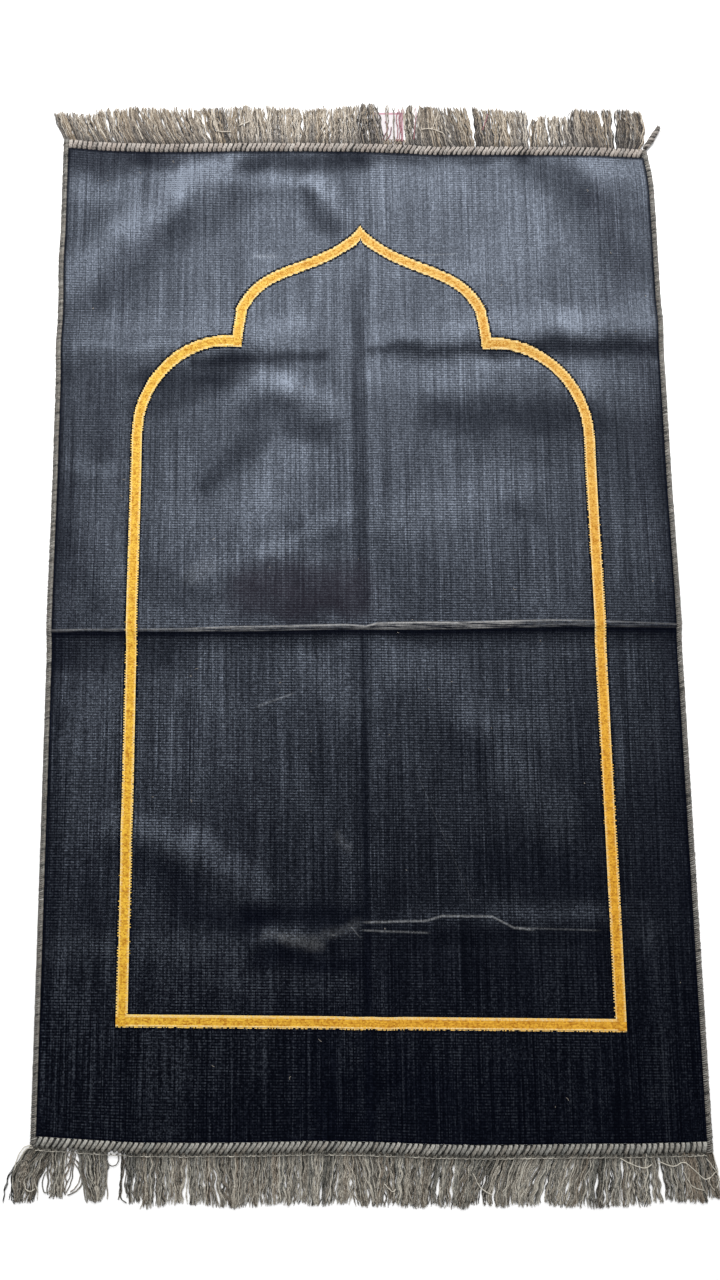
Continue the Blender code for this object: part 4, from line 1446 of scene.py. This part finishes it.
def yarn_shades(group, layer):
    """The shade and the warmth of each yarn, from root to tip."""
    comb, step = group.comb, group.step
    tone = group.clump.tone + group.by_lock(0.05) + group.by_strand(0.17)
    # Painted light and shade: higher yarns lighter, lower ones darker.
    tone = tone + 0.55 * (layer - 0.62) + group.rng.normal(0, 0.17, (group.count, 1))
    mottle = group.waves(group.of_strand, group.strands, 0.0, 0.07, 24.0, 8.0)
    shade = comb.root_shade + (comb.tip_shade - comb.root_shade) * step + tone + mottle
    # Painted shade at the roots, under the whipping.
    shade = shade * (0.45 + 0.55 * np.minimum(1, step * 5))
    warmth = comb.root_warmth + (comb.tip_warmth - comb.root_warmth) * step
    return shade, np.clip(warmth + group.by_lock(0.26) + group.by_strand(0.24), 0, 1)


def clump_yarns(clump, side, comb, rng):
    """Points and looks of the yarns of one clump."""
    group = Group(clump, comb, rng)
    across = yarns_across(group)
    along = side * (YARN_START + group.step * (HEADING - YARN_START + yarn_lengths(group)))
    layer = yarn_layers(group)
    height = yarn_heights(group, layer)
    shade, warmth = yarn_shades(group, layer)
    girth = group.by_yarn(0.80, 1.15) * (1 - 0.45 * np.maximum(0, group.step - 0.80) / 0.20)
    return place(across, along, height), shade, warmth, girth


print("a yarn is", YARN_THICK, "mm thick and has", YARN_POINTS, "points")

# %% [markdown]
# Each fringe is two pieces, so that none has too many faces.

# %% Make both fringes


def make_fringe(name, side, clumps, comb, material, seed):
    rng = np.random.default_rng(seed)
    parts = [clump_yarns(clump, side, comb, rng) for clump in clumps]
    lines, shade, warmth, girth = (np.concatenate(part) for part in zip(*parts))
    print(name, "has", len(lines), "yarns")
    return spin(name, lines, YARN_THICK, material, shade=shade, warmth=warmth, girth=girth)


NEAR_HALF = 15  # clumps in the left piece
FAR_HALF = 9
fringe_near_left = make_fringe("fringe_near_left", -1, NEAR_CLUMPS[:NEAR_HALF], NEAR_COMB, yarn_near, 31)
fringe_near_right = make_fringe("fringe_near_right", -1, NEAR_CLUMPS[NEAR_HALF:], NEAR_COMB, yarn_near, 32)
fringe_far_left = make_fringe("fringe_far_left", 1, FAR_CLUMPS[:FAR_HALF], FAR_COMB, yarn_far, 33)
fringe_far_right = make_fringe("fringe_far_right", 1, FAR_CLUMPS[FAR_HALF:], FAR_COMB, yarn_far, 34)

# %% [markdown]
# ### The heading thread
#
# A chain of thin thread holds the fringe against the near end. A chain stitch is one thread that keeps turning back
# through its own last loop, so its course is a row of small rings drawn along a line: a point that goes round while
# its centre moves on.

# %% Sew the heading thread
CHAIN_STEP = 5.6
CHAIN_POINTS = 14
CHAIN_ALONG = HALF_LENGTH + 1.6
CHAIN_LONG = 2.1
CHAIN_WIDE = 0.95
CHAIN_THICK = 0.95
CHAIN_HEIGHT = 2.7


def make_chain(name, side, material, shade, seed):
    links = int(2 * CLOTH_HALF_WIDTH / CHAIN_STEP)
    rng = np.random.default_rng(seed)
    turn = np.arange(links * CHAIN_POINTS + 1) / CHAIN_POINTS

    def by_link(values):
        return np.interp(turn, np.arange(links + 1), values)

    uneven = by_link(rng.uniform(0.7, 1.2, links + 1))
    angle = turn * 2 * math.pi
    across = -CLOTH_HALF_WIDTH + turn * CHAIN_STEP + CHAIN_LONG * uneven * np.sin(angle)
    along = side * (CHAIN_ALONG + CHAIN_WIDE * uneven * np.cos(angle))
    height = CHAIN_HEIGHT + 0.35 * np.sin(angle) + by_link(rng.normal(0, 0.15, links + 1))
    tones = shade + 0.16 * np.cos(angle) + by_link(rng.normal(0, 0.14, links + 1))
    line = place(across, along, height)[None]
    return spin(name, line, CHAIN_THICK, material, sides=5, shade=tones[None], warmth=0.2)


chain_near = make_chain("heading_chain_near", -1, yarn_near, 0.47, 35)

# %% [markdown]
# ### Loose ends
#
# A few yarns have a course of their own: curly ones in the gaps of the near fringe, a small loop pulled out of the
# whipping, pale threads lying across the right, and the sparse yarns over the label. Each is a few points listed
# on the loom's coordinates, joined by a smooth curve.

# %% Draw the loose yarns
Loose = namedtuple("Loose", "height shade points")
NEAR_LOOSE = [Loose(*row) for row in (
    (1.0, 0.25, ((-300, -555), (-303, -564), (-308, -572), (-309, -584), (-306, -594))),
    (0.9, 0.30, ((-299, -556), (-300, -566), (-302, -577), (-307, -588), (-310, -594))),
    (0.8, 0.25, ((-297, -556), (-299, -568), (-300, -580), (-305, -592))),
    (1.1, 0.35, ((-305, -558), (-297, -566), (-290, -574), (-286, -583), (-285, -592), (-284, -601))),
    (0.9, 0.30, ((-303, -559), (-296, -562), (-290, -570), (-288, -578), (-291, -586), (-298, -592), (-304, -594))),
    (0.8, 0.45, ((-296, -562), (-292, -570), (-292, -579), (-296, -587), (-301, -591))),
    (0.8, 0.35, ((-290, -575), (-290, -583), (-295, -590), (-299, -592))),
    (1.1, 0.30, ((-318, -566), (-322, -571), (-328, -577), (-329, -587), (-326, -592), (-319, -589))),
    (1.2, 0.20, ((-320, -562), (-321, -572), (-320, -584), (-319, -594))),
    (1.0, 0.20, ((-318, -564), (-314, -576), (-316, -588), (-322, -597))),
    (1.0, 0.20, ((-250, -556), (-251, -568), (-250, -580), (-252, -590), (-250, -597), (-245, -601))),
    (0.8, 0.25, ((-247, -557), (-248, -570), (-251, -582), (-252, -592), (-253, -598))),
    (0.9, 0.35, ((-244, -557), (-245, -570), (-247, -583), (-245, -592))),
    (2.9, 0.9, ((249, -555), (259, -560), (272, -564), (280, -561))),
    (2.9, 0.9, ((286, -558), (301, -563), (311, -560), (318, -563), (331, -574), (338, -573))),
    (2.8, 0.8, ((311, -567), (319, -580), (331, -584))), (2.4, 0.8, ((335, -557), (346, -572), (344, -582))),
    (2.9, 0.8, ((341, -584), (336, -576), (344, -568))),
    (3.2, 0.9, ((-341, -550), (-348, -552), (-354, -561), (-357, -572))),
    (2.9, 0.9, ((-339, -552), (-346, -554), (-351, -561))),
    (3.2, 0.9, ((-347, -580), (-345, -588), (-340, -590), (-336, -588))),
    (2.7, 0.9, ((120, -590), (108, -582), (101, -568))), (2.7, 0.9, ((12, -580), (20, -587), (24, -585))),
)]
FAR_LOOSE = [Loose(*row) for row in (
    (1.9, 0.5, ((33, 556), (34.5, 570), (34, 584), (33.5, 598), (35.5, 603), (37, 598), (35.5, 590))),
    (1.8, 0.3, ((36, 556), (35, 572), (36.5, 586), (35, 600))),
    (2.0, 0.4, ((42, 556), (43, 570), (42.5, 584), (44, 600))),
    (1.9, 0.3, ((44, 556), (42.5, 572), (43.5, 588), (41.5, 600))),
    (2.0, 0.2, ((27, 556), (24, 570), (28, 584), (24, 596))),
    (2.0, 0.1, ((31, 556), (30, 566), (26, 578), (27, 590))), (3.4, 0.9, ((-138, 574), (-131, 577), (-125, 580))),
    (3.4, 0.9, ((-164, 567), (-156, 566), (-147, 566))), (3.4, 0.9, ((75, 572), (87, 573), (100, 568))),
    (3.4, 0.9, ((87, 572), (91, 582), (95, 592))), (3.2, 1.0, ((-250, 557), (-254, 566), (-258, 574))),
    (3.2, 1.0, ((-293, 557), (-296, 562), (-300, 567))), (3.2, 1.0, ((-176, 562), (-178, 572), (-184, 584))),
    (2.0, 0.5, ((325, 590), (331, 581), (337, 569), (336, 560))),
    (2.0, 0.4, ((313, 592), (322, 584), (330, 576), (338, 566))),
)]
LABEL_LOOSE = [Loose(*row) for row in (
    (2.0, 0.2, ((29, 557), (33, 566), (36, 574), (33, 582))), (2.1, 0.2, ((33, 557), (38, 564), (40, 575))),
    (2.0, 0.4, ((46, 557), (47.5, 572), (46, 586), (49, 599))),
    (1.7, 0.5, ((48, 557), (50, 570), (49, 584), (50, 596))),
    (2.1, 0.4, ((51, 557), (52.5, 568), (50, 582), (52, 597))),
    (1.8, 0.6, ((53, 557), (51, 574), (53, 588), (54.5, 598))),
    (2.2, 0.5, ((66, 560), (67, 574), (69, 588), (69, 600))), (3.0, 0.5, ((146, 572), (150, 582), (153, 592))),
)]
LOOSE_STEPS = 26


def through(points, steps):
    """A smooth curve through points, as evenly spread places."""
    points = np.array(points, float)
    padded = np.concatenate([[2 * points[0] - points[1]], points, [2 * points[-1] - points[-2]]])
    made = []
    for where in np.linspace(0, len(points) - 1, steps):
        index = min(int(where), len(points) - 2)
        t = where - index
        before, start, end, after = padded[index : index + 4]
        pull = 2 * before - 5 * start + 4 * end - after
        bend = 3 * (start - end) + after - before
        made.append(start + 0.5 * t * (end - before + t * (pull + t * bend)))
    return np.array(made)


def make_loose(name, table, material, seed, thickness=1.1):
    rng = np.random.default_rng(seed)
    lines = []
    for loose in table:
        route = through(loose.points, LOOSE_STEPS)
        ripple = 0.25 * np.sin(np.linspace(0, 26, LOOSE_STEPS) + rng.uniform(0, 6))
        height = loose.height + 0.15 * np.sin(np.linspace(0, 9, LOOSE_STEPS) + rng.uniform(0, 6))
        lines.append(place(route[:, 0] + ripple, route[:, 1], height))
    shade = np.array([[loose.shade] for loose in table])
    warmth = rng.uniform(0.2, 0.7, (len(table), 1))
    return spin(name, np.array(lines), thickness, material, sides=5, shade=shade, warmth=warmth)


loose_near = make_loose("loose_yarns_near", NEAR_LOOSE, yarn_near, 41)
loose_far = make_loose("loose_yarns_far", FAR_LOOSE, yarn_far, 42)
loose_label = make_loose("loose_yarns_label", LABEL_LOOSE, label_yarn, 45)

# %% [markdown]
# The loop is one thicker thread that rises in its middle.

# %% The small loop in the near fringe
LOOP = ((-265.5, -552.5), (-266, -558), (-263.5, -563.2), (-259.5, -565), (-255.5, -563.2), (-253.4, -558.5),
        (-254.6, -552.5))
loop_route = through(LOOP, 34)
loop_height = 1.4 + 0.5 * np.sin(np.linspace(0, math.pi, 34))
loop_line = place(loop_route[:, 0], loop_route[:, 1], loop_height)
thread_loop = spin("thread_loop", loop_line[None], 0.95, yarn_near, sides=6, shade=0.24, warmth=0.3)

# %% [markdown]
# At the near left corner the outermost yarns have rolled up into short curls.

# %% The rolled yarn of the near left corner
CURL_COUNT = 46


def make_curls(name, material, seed):
    """Short curled yarns along the outer side of the corner clump."""
    rng = np.random.default_rng(seed)
    where = rng.uniform(0, 1, CURL_COUNT)
    angle = np.linspace(0, 1, LOOSE_STEPS)[None, :] * rng.uniform(3.0, 6.5, (CURL_COUNT, 1))
    angle = angle + rng.uniform(0, 2 * math.pi, (CURL_COUNT, 1))
    size = rng.uniform(0.9, 2.6, (CURL_COUNT, 1)) * np.linspace(1, 0.5, LOOSE_STEPS)
    middle_x = np.interp(where, (0, 0.35, 1), (-343, -350, -350)) + rng.uniform(-1, 5, CURL_COUNT)
    middle_y = -559 - 28 * where
    height = np.maximum(rng.uniform(2.0, 3.4, (CURL_COUNT, 1)) + 0.5 * np.sin(angle * 1.3), 0.5)
    x = middle_x[:, None] + size * np.cos(angle)
    y = middle_y[:, None] + 1.3 * size * np.sin(angle)
    shade = rng.uniform(0.15, 0.75, (CURL_COUNT, 1))
    warmth = rng.uniform(0.4, 1.0, (CURL_COUNT, 1))
    return spin(name, place(x, y, height), 0.7, material, sides=4, shade=shade, warmth=warmth)


corner_curls = make_curls("corner_curls", yarn_near, 43)

# %% [markdown]
# ## The corner tail
#
# The whipping yarn ends at the far right corner in a short thick tail: light and dark plies twisted together,
# lumpy where they cross, and frayed at the tip. The middle line is one Bezier curve, and each ply winds round it.

# %% Twist the tail
TAIL_START = (341.5, 553.0)
TAIL_ROUTE = ((0.0, 0.0), (6.0, 8.0), (11.5, 16.0), (16.5, 27.0))
TAIL_TURNS = 3.2
TAIL_STEPS = 56
TAIL_SHADES = (0.44, -0.06, 0.32, -0.08, 0.58)
TAIL_PLY = 2.8
TAIL_OUT = 2.4
TAIL_HEIGHT = 3.6
TAIL_HAIRS = 16


def tail_route():
    start = Vector(lay(*TAIL_START))
    handles = [start + Vector(step) for step in TAIL_ROUTE]
    return np.array([list(at) for at in interpolate_bezier(*handles, TAIL_STEPS)])


def on_floor(flat, height):
    """Points in millimetres from the rug's middle, as metres."""
    points = np.concatenate([flat, np.broadcast_to(height, flat.shape[:-1])[..., None]], axis=-1) * MM
    points[..., :2] += (RUG_MIDDLE.x, RUG_MIDDLE.y)
    return points


def make_tail(name, material):
    route = tail_route()
    heading = np.gradient(route, axis=0)
    heading = heading / np.linalg.norm(heading, axis=1)[:, None]
    sideways = np.stack([-heading[:, 1], heading[:, 0]], axis=1)
    share = np.linspace(0, 1, TAIL_STEPS)
    lines = []
    girths = []
    for ply in range(len(TAIL_SHADES)):
        turn = 2 * math.pi * (TAIL_TURNS * share + ply / len(TAIL_SHADES))
        out = TAIL_OUT * (0.85 + 0.22 * np.sin(share * 17 + 2.1 * ply))
        out = out * (0.75 + 0.25 * np.sin(math.pi * share))
        height = TAIL_HEIGHT + 0.85 * out * np.sin(turn)
        lines.append(on_floor(route + sideways * (out * np.cos(turn))[:, None], height))
        girths.append(0.95 + 0.22 * np.sin(share * 31 + 1.7 * ply) - 0.35 * np.maximum(0, share - 0.85) / 0.15)
    looks = {"shade": np.array(TAIL_SHADES)[:, None], "warmth": 0.25, "girth": np.array(girths)}
    return spin(name, np.array(lines), TAIL_PLY, material, sides=7, **looks)


tail = make_tail("twisted_tail", whip_far_yarn)

# %% [markdown]
# The tip is frayed, and a few fibres stand off along the tail.

# %% Fray the tail


def make_tail_hairs(name, material, seed):
    rng = np.random.default_rng(seed)
    route = tail_route()
    at_tip = rng.random(TAIL_HAIRS) < 0.6
    start = route[np.where(at_tip, TAIL_STEPS - 3, rng.integers(12, TAIL_STEPS - 6, TAIL_HAIRS))]
    angle = math.radians(62) + rng.normal(0, 0.55, TAIL_HAIRS)
    reach = rng.uniform(2.5, 6.5, TAIL_HAIRS)[:, None] * np.linspace(0, 1, 8)
    bend = angle[:, None] + rng.normal(0, 0.6, (TAIL_HAIRS, 1)) * np.linspace(0, 1, 8)
    flat = start[:, None, :] + np.stack([reach * np.cos(bend), reach * np.sin(bend)], axis=-1)
    height = rng.uniform(1.6, 4.0, (TAIL_HAIRS, 1))
    shade = rng.uniform(0.1, 0.8, (TAIL_HAIRS, 1))
    return spin(name, on_floor(flat, height), 0.45, material, sides=4, shade=shade, warmth=0.3)


tail_hairs = make_tail_hairs("tail_hairs", whip_far_yarn, 44)

# %% [markdown]
# ## The label
#
# A small woven ribbon is sewn under the far end. It is bare here: a white satin ground with a thin woven border in
# dull red along its far and right edges. Its own UV map carries the border.

# %% Make the label
LABEL_LEFT = 16.0
LABEL_RIGHT = 54.5
LABEL_NEAR = HALF_LENGTH - 0.6
LABEL_FAR = HALF_LENGTH + 43.0
LABEL_THICK = 0.9
LABEL_STEPS = 14


def label_ribbon():
    finish = Finish("label_ribbon")
    x, y = finish.split(finish.node("ShaderNodeUVMap", {"uv_map": "Ribbon"}))
    x = x * (LABEL_RIGHT - LABEL_LEFT)
    y = y * (LABEL_FAR - LABEL_NEAR)
    weave = finish.noise(finish.point(x / 0.35, y / 2.5))
    edge = (LABEL_RIGHT - LABEL_LEFT - x).maths("MINIMUM", LABEL_FAR - LABEL_NEAR - y)
    border = edge.below(3.4) * edge.above(0.9)
    ground = finish.mix_colour(weave, colour(0.36, 0.33, 0.34), colour(0.46, 0.43, 0.44))
    tone = finish.mix_colour(border * (weave * 0.6 + 0.45), ground, colour(0.27, 0.075, 0.12))
    bump = finish.bump(weave, 0.4, 0.0001)
    return finish.end(finish.surface(Base_Color=tone, Roughness=0.45, Normal=bump))


def make_label(name):
    grid = np.linspace(LABEL_LEFT, LABEL_RIGHT, LABEL_STEPS), np.linspace(LABEL_NEAR, LABEL_FAR, LABEL_STEPS)
    across, along = np.meshgrid(*grid)
    wave = 0.06 + 0.10 * (1 + np.sin(across / 6.0) * np.cos(along / 8.0))
    heights = (wave + LABEL_THICK - 0.25, wave - 0.04)
    ribbon_x = (across - LABEL_LEFT) / (LABEL_RIGHT - LABEL_LEFT)
    ribbon_y = (along - LABEL_NEAR) / (LABEL_FAR - LABEL_NEAR)
    return make_shell(name, label_ribbon(), (across, along), heights, "Ribbon", (ribbon_x, ribbon_y), 40)


label = make_label("label")
print("label:", len(label.data.polygons), "faces")

# %% [markdown]
# ## Lint
#
# A dark velvet always carries some lint: short pale fibres, lying any way on the pile. They are a handful of curved
# yarns, a third of a millimetre thick, scattered with a fixed seed.

# %% Scatter the lint
LINT_COUNT = 46
LINT_STEPS = 6
LINT_THICK = 0.34

lint_rng = np.random.default_rng(51)
lint_across = lint_rng.uniform(-325, 325, LINT_COUNT)
lint_along = lint_rng.uniform(-530, 530, LINT_COUNT)
lint_length = lint_rng.uniform(1.2, 4.5, LINT_COUNT)
lint_turn = lint_rng.uniform(0, 2 * math.pi, LINT_COUNT)
lint_curl = lint_rng.normal(0, 1.6, LINT_COUNT)
lint_share = np.linspace(-0.5, 0.5, LINT_STEPS)[None, :]
lint_angle = lint_turn[:, None] + lint_curl[:, None] * lint_share
lint_x = lint_across[:, None] + lint_length[:, None] * lint_share * np.cos(lint_angle)
lint_y = lint_along[:, None] + lint_length[:, None] * lint_share * np.sin(lint_angle)
lint_lines = place(lint_x, lint_y, rise(lint_x, lint_y) + CLOTH_THICK + 0.12)
lint = spin("lint", lint_lines, LINT_THICK, yarn_far, sides=4, shade=0.75, warmth=0.2)

# %% [markdown]
# ## The floor and the light
#
# The rug lies on a white floor. The look of the velvet is all in the light: one broad light stands low beyond the
# far end, so the far pile mirrors it softly and the near pile does not. The rest is an even fill from above. The
# fill is kept out of glossy reflections, as a polarised studio light would be, or the near pile would turn grey.

# %% Lay the floor
FLOOR_HALF = 4.0
FLOOR_DROP = 0.0004  # so that the lowest yarns do not touch it

floor_finish = Finish("floor_paint")
floor_grain = floor_finish.noise(floor_finish.on_object(), scale=3.0)
floor_tone = floor_finish.mix_colour(floor_grain, colour(0.93, 0.93, 0.93), colour(0.96, 0.96, 0.96))
floor_surface = floor_finish.surface(Base_Color=floor_tone, Roughness=0.9, Specular_IOR_Level=0.0)
floor_paint = floor_finish.end(floor_surface)
floor_corners = np.array([[-1, -1, 0], [1, -1, 0], [1, 1, 0], [-1, 1, 0]], float) * FLOOR_HALF
floor_corners[:, 2] = -FLOOR_DROP
floor = new_piece("floor", floor_corners, [[0, 1, 2, 3]], floor_paint)
print("floor:", 2 * FLOOR_HALF, "m square")

# %% Place the lights
Lamp = namedtuple("Lamp", "where size power aim")  # in metres and watts
KEY = Lamp((0.083, 1.271, 1.364), (1.70, 1.60), 50.0, (0.0, 0.2, 0.0))
SIDE = Lamp((-0.71, 0.10, 1.25), (0.98, 0.45), 4.2, (0.0, 0.0, 0.0))
FILL = Lamp((0.0, -0.1, 2.4), (2.4, 2.4), 26.0, (0.0, 0.0, 0.0))
SKY_STRENGTH = 0.26


def area_light(name, where, size, power, aim):
    lamp = bpy.data.lights.new(name, "AREA")
    lamp.shape = "RECTANGLE"
    lamp.size, lamp.size_y = size
    lamp.energy = power
    light = add_object(name, lamp)
    light.location = where
    light.rotation_euler = (Vector(aim) - Vector(where)).to_track_quat("-Z", "Y").to_euler()
    light.visible_camera = False
    return light


key = area_light("key", *KEY)
side_light = area_light("side", *SIDE)
fill = area_light("fill", *FILL)
fill.visible_glossy = False

world = bpy.data.worlds.new("sky")
bpy.context.scene.world = world
world.use_nodes = True
backdrop = world.node_tree.nodes["Background"]
backdrop.inputs["Color"].default_value = colour(1.0, 1.0, 1.0)
backdrop.inputs["Strength"].default_value = SKY_STRENGTH
world.cycles_visibility.glossy = False
bpy.context.scene.view_settings.view_transform = "Standard"
print("lights:", key.name, side_light.name, fill.name)

# %% [markdown]
# ## Saying what each piece is
#
# Each piece rides on the rug's one body and says which solids it stands for; those solids are hidden. The table
# also names a finish for each piece, but nothing here applies it.

Dress = namedtuple("Dress", "piece slot nodes")
DRESSING = (
    Dress(velvet_sheet, "pile", ("pile_cloth",)),
    Dress(whipping_near, "whip_yarn", ("whipped_end_near",)),
    Dress(whipping_far, "whip_yarn", ("whipped_end_far",)),
    Dress(core_near, "whip_yarn", ()),
    Dress(core_far, "whip_yarn", ()),
    Dress(overcast_left, "side_thread", ("side_overcast_left",)),
    Dress(overcast_right, "side_thread", ("side_overcast_right",)),
    Dress(side_core_left, "side_thread", ()),
    Dress(side_core_right, "side_thread", ()),
    Dress(fringe_near_left, "fringe_yarn", ("fringe_near",)),
    Dress(fringe_near_right, "fringe_yarn", ("fringe_near",)),
    Dress(fringe_far_left, "fringe_yarn", ("fringe_far",)),
    Dress(fringe_far_right, "fringe_yarn", ("fringe_far",)),
    Dress(chain_near, "fringe_yarn", ()),
    Dress(loose_near, "fringe_yarn", ()),
    Dress(loose_far, "fringe_yarn", ()),
    Dress(loose_label, "fringe_yarn", ()),
    Dress(thread_loop, "fringe_yarn", ()),
    Dress(corner_curls, "fringe_yarn", ()),
    Dress(tail, "whip_yarn", ("corner_tail",)),
    Dress(tail_hairs, "whip_yarn", ()),
    Dress(label, "label_ribbon", ("sewn_label",)),
    Dress(lint, "fringe_yarn", ()),
)
for dress in DRESSING:
    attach(dress.piece, "root")
    if dress.nodes:
        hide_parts(*dress.nodes)

print("pieces:", len(DRESSING))
